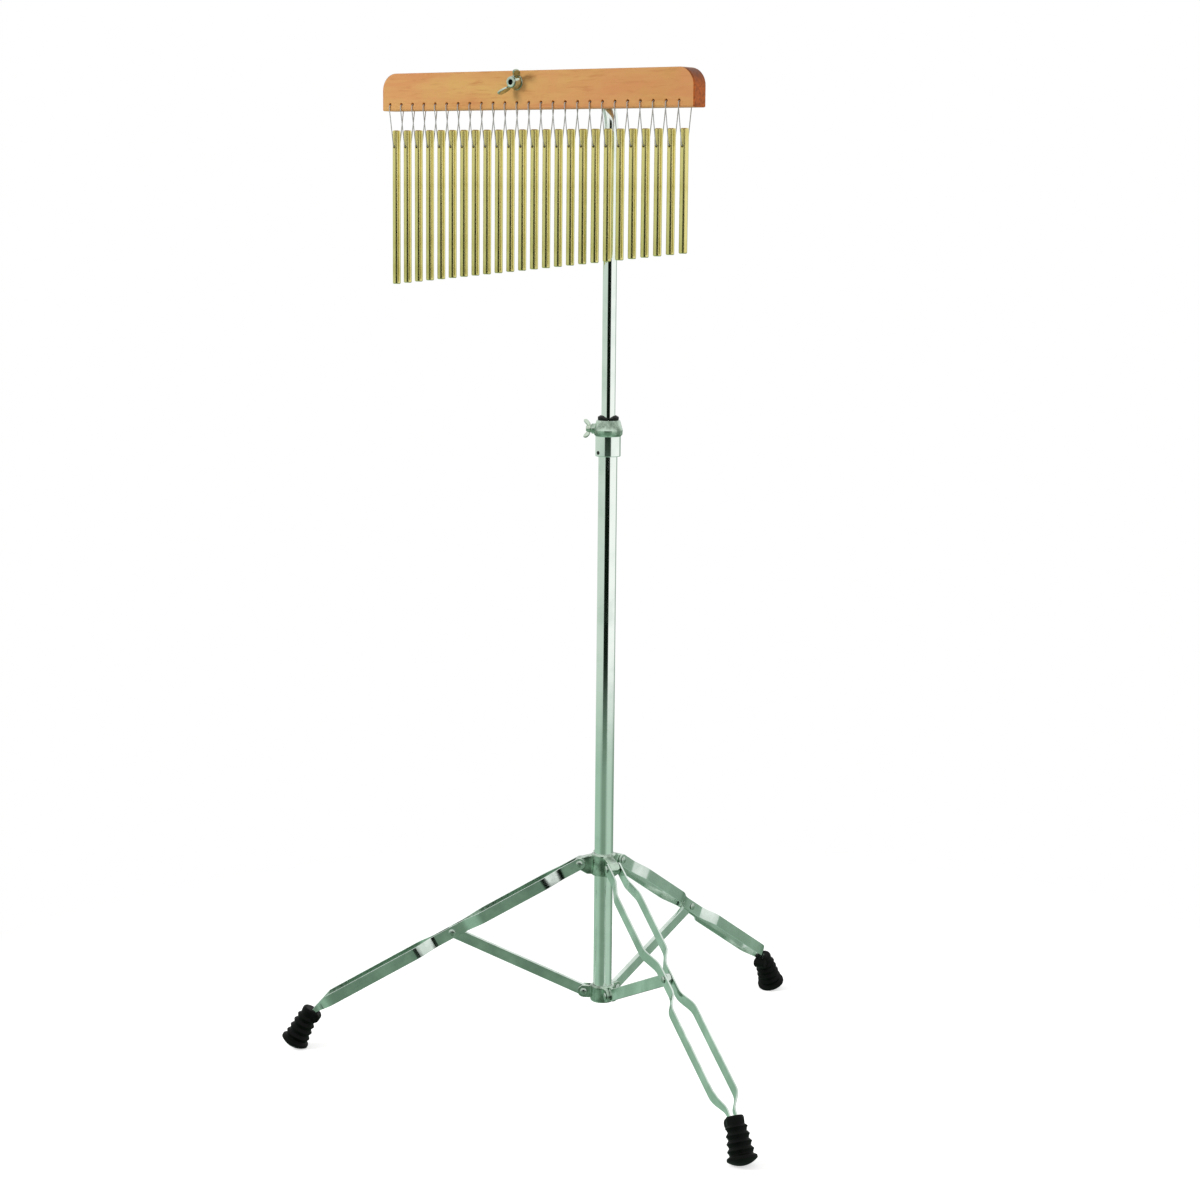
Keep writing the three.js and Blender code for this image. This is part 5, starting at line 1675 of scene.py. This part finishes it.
class CHIMES_OT_braces(PieceOperator, bpy.types.Operator):
    """Makes the three braces of pressed channel"""

    bl_idname = "bar_chimes.braces"
    bl_label = "Braces"

    def execute(self, context):
        s = settings().legs
        length = brace_line()[0]
        half = s.brace_height / 2
        outline = [Vector((0, -half))]
        outline += arc((length, 0), half, -90, 90)
        outline += arc((0, 0), half, 90, 270)[:-1]
        brace = as_object(plate(outline, s.brace_width, 0.9 * MM, 3), "channel")
        groove = rounded([
            (s.brace_solid, -s.brace_height, 0),
            (length - s.brace_solid, -s.brace_height, 0),
            (length - s.brace_solid, half - s.brace_wall, 4.0 * MM),
            (s.brace_solid, half - s.brace_wall, 4.0 * MM),
        ])
        cut(brace, plate(groove, s.brace_width - 2 * s.brace_wall))
        ends = [Matrix.Translation((x, 0, 0)) @ ALONG_Y for x in (0, length)]
        cut(brace, *[moved(pin(s.brace_hole, -s.brace_height, s.brace_height, 32), end) for end in ends])
        shaded(brace, leg_chrome_material(), 30)
        for name in LEG_ANGLES:
            copy = weighted(twin(brace, f"channel_{name}"))
            placed(copy, brace_matrix(name), f"brace_{name}")
        bpy.data.objects.remove(brace)
        return {"FINISHED"}


class CHIMES_OT_rivets(PieceOperator, bpy.types.Operator):
    """Makes the nine rivets of the legs and braces"""

    bl_idname = "bar_chimes.rivets"
    bl_label = "Rivets"

    def execute(self, context):
        s, collar = settings().legs, settings().collar
        half = s.strip / 2
        spans = {
            "top": s.top_offset + half,
            "mid": s.waist_offset + half,
            "base": s.brace_width / 2 + GAP + collar.cheek,
        }
        made = {}
        for key, span in spans.items():
            made[key] = as_object(self.rivet(span), f"rivet_{key}")
            shaded(made[key], rivet_material(), 40)
        for name in LEG_ANGLES:
            along = Matrix.Translation((s.mid, 0, 0))
            for key, matrix, node in (
                ("top", leg_matrix(name), f"leg_{name}_top_rivet"),
                ("mid", leg_matrix(name) @ along, f"leg_{name}_mid_rivet"),
                ("base", brace_matrix(name), f"brace_{name}_rivet"),
            ):
                copy = twin(made[key], f"domed_rivet_{key}_{name}")
                placed(copy, matrix, node)
        for rivet in made.values():
            bpy.data.objects.remove(rivet)
        return {"FINISHED"}

    def rivet(self, span):
        """A rivet along Y with a domed head at both ends."""
        s = settings().legs
        shank, head = s.rivet / 2, s.rivet_head / 2
        under = span + GAP
        brim, top = under + 0.35 * MM, under + s.rivet_head_height
        upper = [(shank, under), (head, under, 0.2 * MM)]
        for degrees in range(0, 91, 15):
            turn = radians(degrees)
            upper.append((head * cos(turn), brim + (top - brim) * sin(turn)))
        lower = [(p[0], -p[1], *p[2:]) for p in reversed(upper)]
        profile = rounded(lower + upper, closed=False)
        return moved(lathe(profile, 40), ALONG_Y)


class CHIMES_OT_feet(PieceOperator, bpy.types.Operator):
    """Makes the three ribbed rubber feet"""

    bl_idname = "bar_chimes.feet"
    bl_label = "Rubber Feet"

    # Corners of a groove: its share of a rib's height, its share of the depth, and its rounding in mm
    groove = ((0.3, 1.0, 0.9), (0.62, 0.55, 0.8), (0.86, 0.0, 0.7))

    def execute(self, context):
        s, legs = settings().feet, settings().legs
        end_radius, _ = leg_end()
        foot_radius = end_radius - s.end_past_neck + s.neck_top * sin(s.lean)
        foot = as_object(self.bell(foot_radius), "bell")
        reach = 2 * s.base
        floor = block((foot_radius - reach, -reach, -reach), (foot_radius + reach, reach, 0))
        half = s.pocket_width / 2
        pocket = pin(s.pocket, -half, half, 48, 2.0 * MM)
        stand = Matrix.Translation((foot_radius, 0, s.base_height)) @ Matrix.Rotation(-s.lean, 4, "Y")
        seat = Matrix.Translation((-s.pocket_offset, 0, s.pocket_height)) @ ALONG_Y
        boolean(foot, moved(pocket, stand @ seat), "UNION")
        cut(foot, floor)
        leg = Matrix.Translation((legs.pivot, 0, leg_pivot_height())) @ Matrix.Rotation(legs.slope, 4, "Y")
        for side in (1, -1):
            slot = plate(strip_outline(GAP), legs.strip + 2 * GAP)
            cut(foot, moved(slot, leg @ Matrix.Translation((0, side * legs.end_offset, 0))))
        shaded(foot, rubber_material(), 42)
        foot.data.transform(Matrix.Translation((-foot_radius, 0, 0)))
        for name in LEG_ANGLES:
            copy = twin(foot, f"rubber_foot_{name}")
            copy.data = foot.data.copy()
            copy.data.transform(leg_plane(name))
            place = leg_plane(name) @ Vector((foot_radius, 0, 0))
            placed(copy, Matrix.Translation(place), f"foot_{name}")
        bpy.data.objects.remove(foot)
        return {"FINISHED"}

    def bell(self, radius):
        """The leaning bell before its base is cut."""
        s = settings().feet
        base, shoulder, neck = s.base / 2, s.shoulder / 2, s.neck / 2
        rim = base + s.flange
        sole = (rim ** 2 + s.sole ** 2) / (2 * s.sole)
        half_angle = asin(rim / sole)
        pitch = (s.shoulder_height - s.flange_height) / s.ribs
        steps = 8
        points = []
        for k in range(steps + 1):
            turn = half_angle * k / steps
            points.append((sole * sin(turn), sole * (1 - cos(turn)) - s.sole))
        points.append((rim, s.flange_height, 1.2 * MM))
        for k in range(s.ribs):
            for part, depth, rounding in self.groove:
                height = s.flange_height + (k + part) * pitch
                side = base + (shoulder - base) * height / s.shoulder_height
                points.append((side - s.rib_depth * depth, height, rounding * MM))
        points.append((neck, s.shoulder_height + 1.5 * MM, 0.8 * MM))
        points.append((neck + 0.5 * MM, s.neck_top - 3.0 * MM, 1.0 * MM))
        points.append((neck - 0.4 * MM, s.neck_top, 2.2 * MM))
        points.append((0, s.neck_top))
        bell = lathe(rounded(points, closed=False), 96)
        turn = Matrix.Translation((radius, 0, s.base_height)) @ Matrix.Rotation(-s.lean, 4, "Y")
        return moved(bell, turn)


class CHIMES_OT_studio(PieceOperator, bpy.types.Operator):
    """Sets the camera, the pale floor and the soft studio light"""

    bl_idname = "bar_chimes.studio"
    bl_label = "Studio"

    def execute(self, context):
        s = settings().studio
        context.scene.view_settings.view_transform = "Standard"
        self.camera(context, s)
        self.world(context, s)
        self.lamps(context, s)
        self.floor(context, s)
        return {"FINISHED"}

    def camera(self, context, s):
        """The camera at the photograph's angle."""
        ahead = Vector((-sin(s.azimuth), cos(s.azimuth), 0))
        forward = ahead * cos(s.elevation) - Vector((0, 0, sin(s.elevation)))
        level = Vector((cos(s.azimuth), sin(s.azimuth), 0))
        upright = level.cross(forward)
        right = level * cos(s.roll) + upright * sin(s.roll)
        up = upright * cos(s.roll) - level * sin(s.roll)
        data = bpy.data.cameras.new("photo_camera")
        data.sensor_width = SENSOR_WIDTH
        data.lens = s.lens
        data.clip_end = 60.0
        camera = bpy.data.objects.new("photo_camera", data)
        matrix = Matrix((right, up, -forward)).transposed().to_4x4()
        matrix.translation = Vector((s.camera_x, -s.camera_back, s.camera_z))
        camera.matrix_world = matrix
        context.scene.collection.objects.link(camera)
        context.scene.camera = camera

    def world(self, context, s):
        """White for the camera, even light for the object, and a studio for metal to reflect."""
        world = bpy.data.worlds.new("studio")
        context.scene.world = world
        world.use_nodes = True
        tree = world.node_tree
        tree.nodes.clear()
        way = tree.nodes.new("ShaderNodeTexCoord").outputs["Generated"]
        towards = (sin(s.azimuth), -cos(s.azimuth), 0.0)
        right = (cos(s.azimuth), sin(s.azimuth), 0.0)

        def along(direction):
            made = add_node(tree, "ShaderNodeVectorMath", [(0, way), (1, direction)], operation="DOT_PRODUCT")
            return made.outputs["Value"]

        turn = math_node(tree, "ARCTAN2", along(right), along(towards))
        turn = math_node(tree, "MULTIPLY", turn, 180 / pi)
        rise = add_node(tree, "ShaderNodeSeparateXYZ", [("Vector", way)]).outputs["Z"]
        rise = math_node(tree, "MULTIPLY", math_node(tree, "ARCSINE", rise), 180 / pi)
        reflected = self.surroundings(tree, s, turn, rise)

        path = tree.nodes.new("ShaderNodeLightPath")
        plain = add_node(tree, "ShaderNodeBackground", [("Color", (1, 1, 1, 1)), ("Strength", s.world_light)])
        studio = add_node(tree, "ShaderNodeBackground", [("Color", reflected), ("Strength", 1.0)])
        white = add_node(tree, "ShaderNodeBackground", [("Color", (1, 1, 1, 1)), ("Strength", 1.0)])
        pairs = [(0, path.outputs["Is Glossy Ray"]), (1, plain.outputs[0]), (2, studio.outputs[0])]
        glossy = add_node(tree, "ShaderNodeMixShader", pairs)
        pairs = [(0, path.outputs["Is Camera Ray"]), (1, glossy.outputs[0]), (2, white.outputs[0])]
        seen = add_node(tree, "ShaderNodeMixShader", pairs)
        out = tree.nodes.new("ShaderNodeOutputWorld")
        tree.links.new(seen.outputs[0], out.inputs["Surface"])

    def surroundings(self, tree, s, turn, rise):
        """The walls, the dark studio behind the camera, the dim floor and the bright ceiling."""
        level = blended(tree, remap(tree, turn, *LEFT_WALL_TO_RIGHT), s.wall_left, s.wall_right)
        back = math_node(tree, "MULTIPLY", remap(tree, turn, *RIGHT_WALL_TO_BACK), BACK_SHARE)
        level = blended(tree, back, level, s.dim_front)
        not_past = remap(tree, turn, *DARK_ENDS, 1.0, 0.0)
        dark = math_node(tree, "MULTIPLY", remap(tree, turn, *DARK_STARTS), not_past)
        level = blended(tree, dark, level, s.dark_side)
        low = blended(tree, remap(tree, turn, *LOW_LEFT_TO_FRONT), s.dim_left, s.dim_front)
        low = blended(tree, remap(tree, turn, *LOW_FRONT_TO_RIGHT), low, s.dim_right)
        low = blended(tree, remap(tree, turn, *LOW_RIGHT_TO_BACK), low, s.dim_front)
        reflected = blended(tree, remap(tree, rise, *RISE_OF_WALL), low, level)
        tall = math_node(tree, "MULTIPLY", dark, remap(tree, turn, *TALL_DARK_ENDS, 1.0, 0.0))
        above = math_node(tree, "SUBTRACT", rise, math_node(tree, "MULTIPLY", tall, TALL_DARK))
        return blended(tree, remap(tree, above, *RISE_OF_CEILING), reflected, (1.0, 1.0, 1.0))

    def lamps(self, context, s):
        """A soft lamp at the left and a much weaker one at the right."""
        for name, power, place, wide in LAMPS:
            data = bpy.data.lights.new(name, "AREA")
            data.shape = "DISK"
            data.size = wide
            data.energy = getattr(s, power)
            lamp = bpy.data.objects.new(name, data)
            lamp.location = place
            aim = LAMP_AIM - Vector(place)
            lamp.rotation_euler = aim.to_track_quat("-Z", "Y").to_euler()
            lamp.visible_glossy = False
            context.scene.collection.objects.link(lamp)

    def floor(self, context, s):
        """A pale floor that fades into the white behind."""
        bm = bmesh.new()
        corners = [(-1, -1, 0), (1, -1, 0), (1, 1, 0), (-1, 1, 0)]
        bm.faces.new([bm.verts.new(FLOOR_HALF * Vector(corner)) for corner in corners])
        floor = as_object(bm, "studio_floor")
        material = bpy.data.materials.new("pale_floor")
        material.use_nodes = True
        tree = material.node_tree
        tree.nodes.clear()
        place = tree.nodes.new("ShaderNodeTexCoord").outputs["Object"]
        distance = add_node(tree, "ShaderNodeVectorMath", [(0, place)], operation="LENGTH").outputs["Value"]
        far = remap(tree, distance, *FLOOR_FADE)
        path = tree.nodes.new("ShaderNodeLightPath")
        paint = add_node(tree, "ShaderNodeBsdfDiffuse", [("Color", (*s.floor, 1.0))])
        lift = math_node(tree, "MULTIPLY", path.outputs["Is Camera Ray"], s.floor_glow)
        bright = add_node(tree, "ShaderNodeEmission", [("Color", (1, 1, 1, 1)), ("Strength", lift)])
        near = add_node(tree, "ShaderNodeAddShader", [(0, paint.outputs[0]), (1, bright.outputs[0])])
        glow = add_node(tree, "ShaderNodeEmission", [("Color", (1, 1, 1, 1)), ("Strength", 1.0)])
        seen = math_node(tree, "MULTIPLY", far, path.outputs["Is Camera Ray"])
        mix = add_node(tree, "ShaderNodeMixShader", [(0, seen), (1, near.outputs[0]), (2, glow.outputs[0])])
        out = tree.nodes.new("ShaderNodeOutputMaterial")
        tree.links.new(mix.outputs[0], out.inputs["Surface"])
        floor.data.materials.append(material)
        floor.visible_glossy = False


PIECES = (
    CHIMES_OT_studio,
    CHIMES_OT_rods,
    CHIMES_OT_wood_bar,
    CHIMES_OT_cord,
    CHIMES_OT_bar_bolt,
    CHIMES_OT_saddle,
    CHIMES_OT_upper_tube,
    CHIMES_OT_lower_tube,
    CHIMES_OT_height_clamp,
    CHIMES_OT_leg_collar,
    CHIMES_OT_base_bracket,
    CHIMES_OT_leg_strips,
    CHIMES_OT_braces,
    CHIMES_OT_rivets,
    CHIMES_OT_feet,
)


class CHIMES_PT_panel(bpy.types.Panel):
    """The list of the pieces in the sidebar"""

    bl_idname = "CHIMES_PT_panel"
    bl_label = "Bar Chimes"
    bl_space_type = "VIEW_3D"
    bl_region_type = "UI"
    bl_category = "Bar Chimes"

    def draw(self, context):
        for piece in PIECES:
            self.layout.operator(piece.bl_idname)


CLASSES = (*SETTINGS.values(), BarChimeSettings, *PIECES, CHIMES_PT_panel)


def register():
    for cls in CLASSES:
        bpy.utils.register_class(cls)
    bpy.types.Scene.bar_chimes = PointerProperty(
        type=BarChimeSettings, name="Bar chimes", description="Sizes and colours"
    )


def unregister():
    del bpy.types.Scene.bar_chimes
    for cls in reversed(CLASSES):
        bpy.utils.unregister_class(cls)


def main():
    """Builds every piece."""
    register()
    for piece in PIECES:
        group, name = piece.bl_idname.split(".")
        getattr(getattr(bpy.ops, group), name)()


if __name__ == "__main__":
    main()
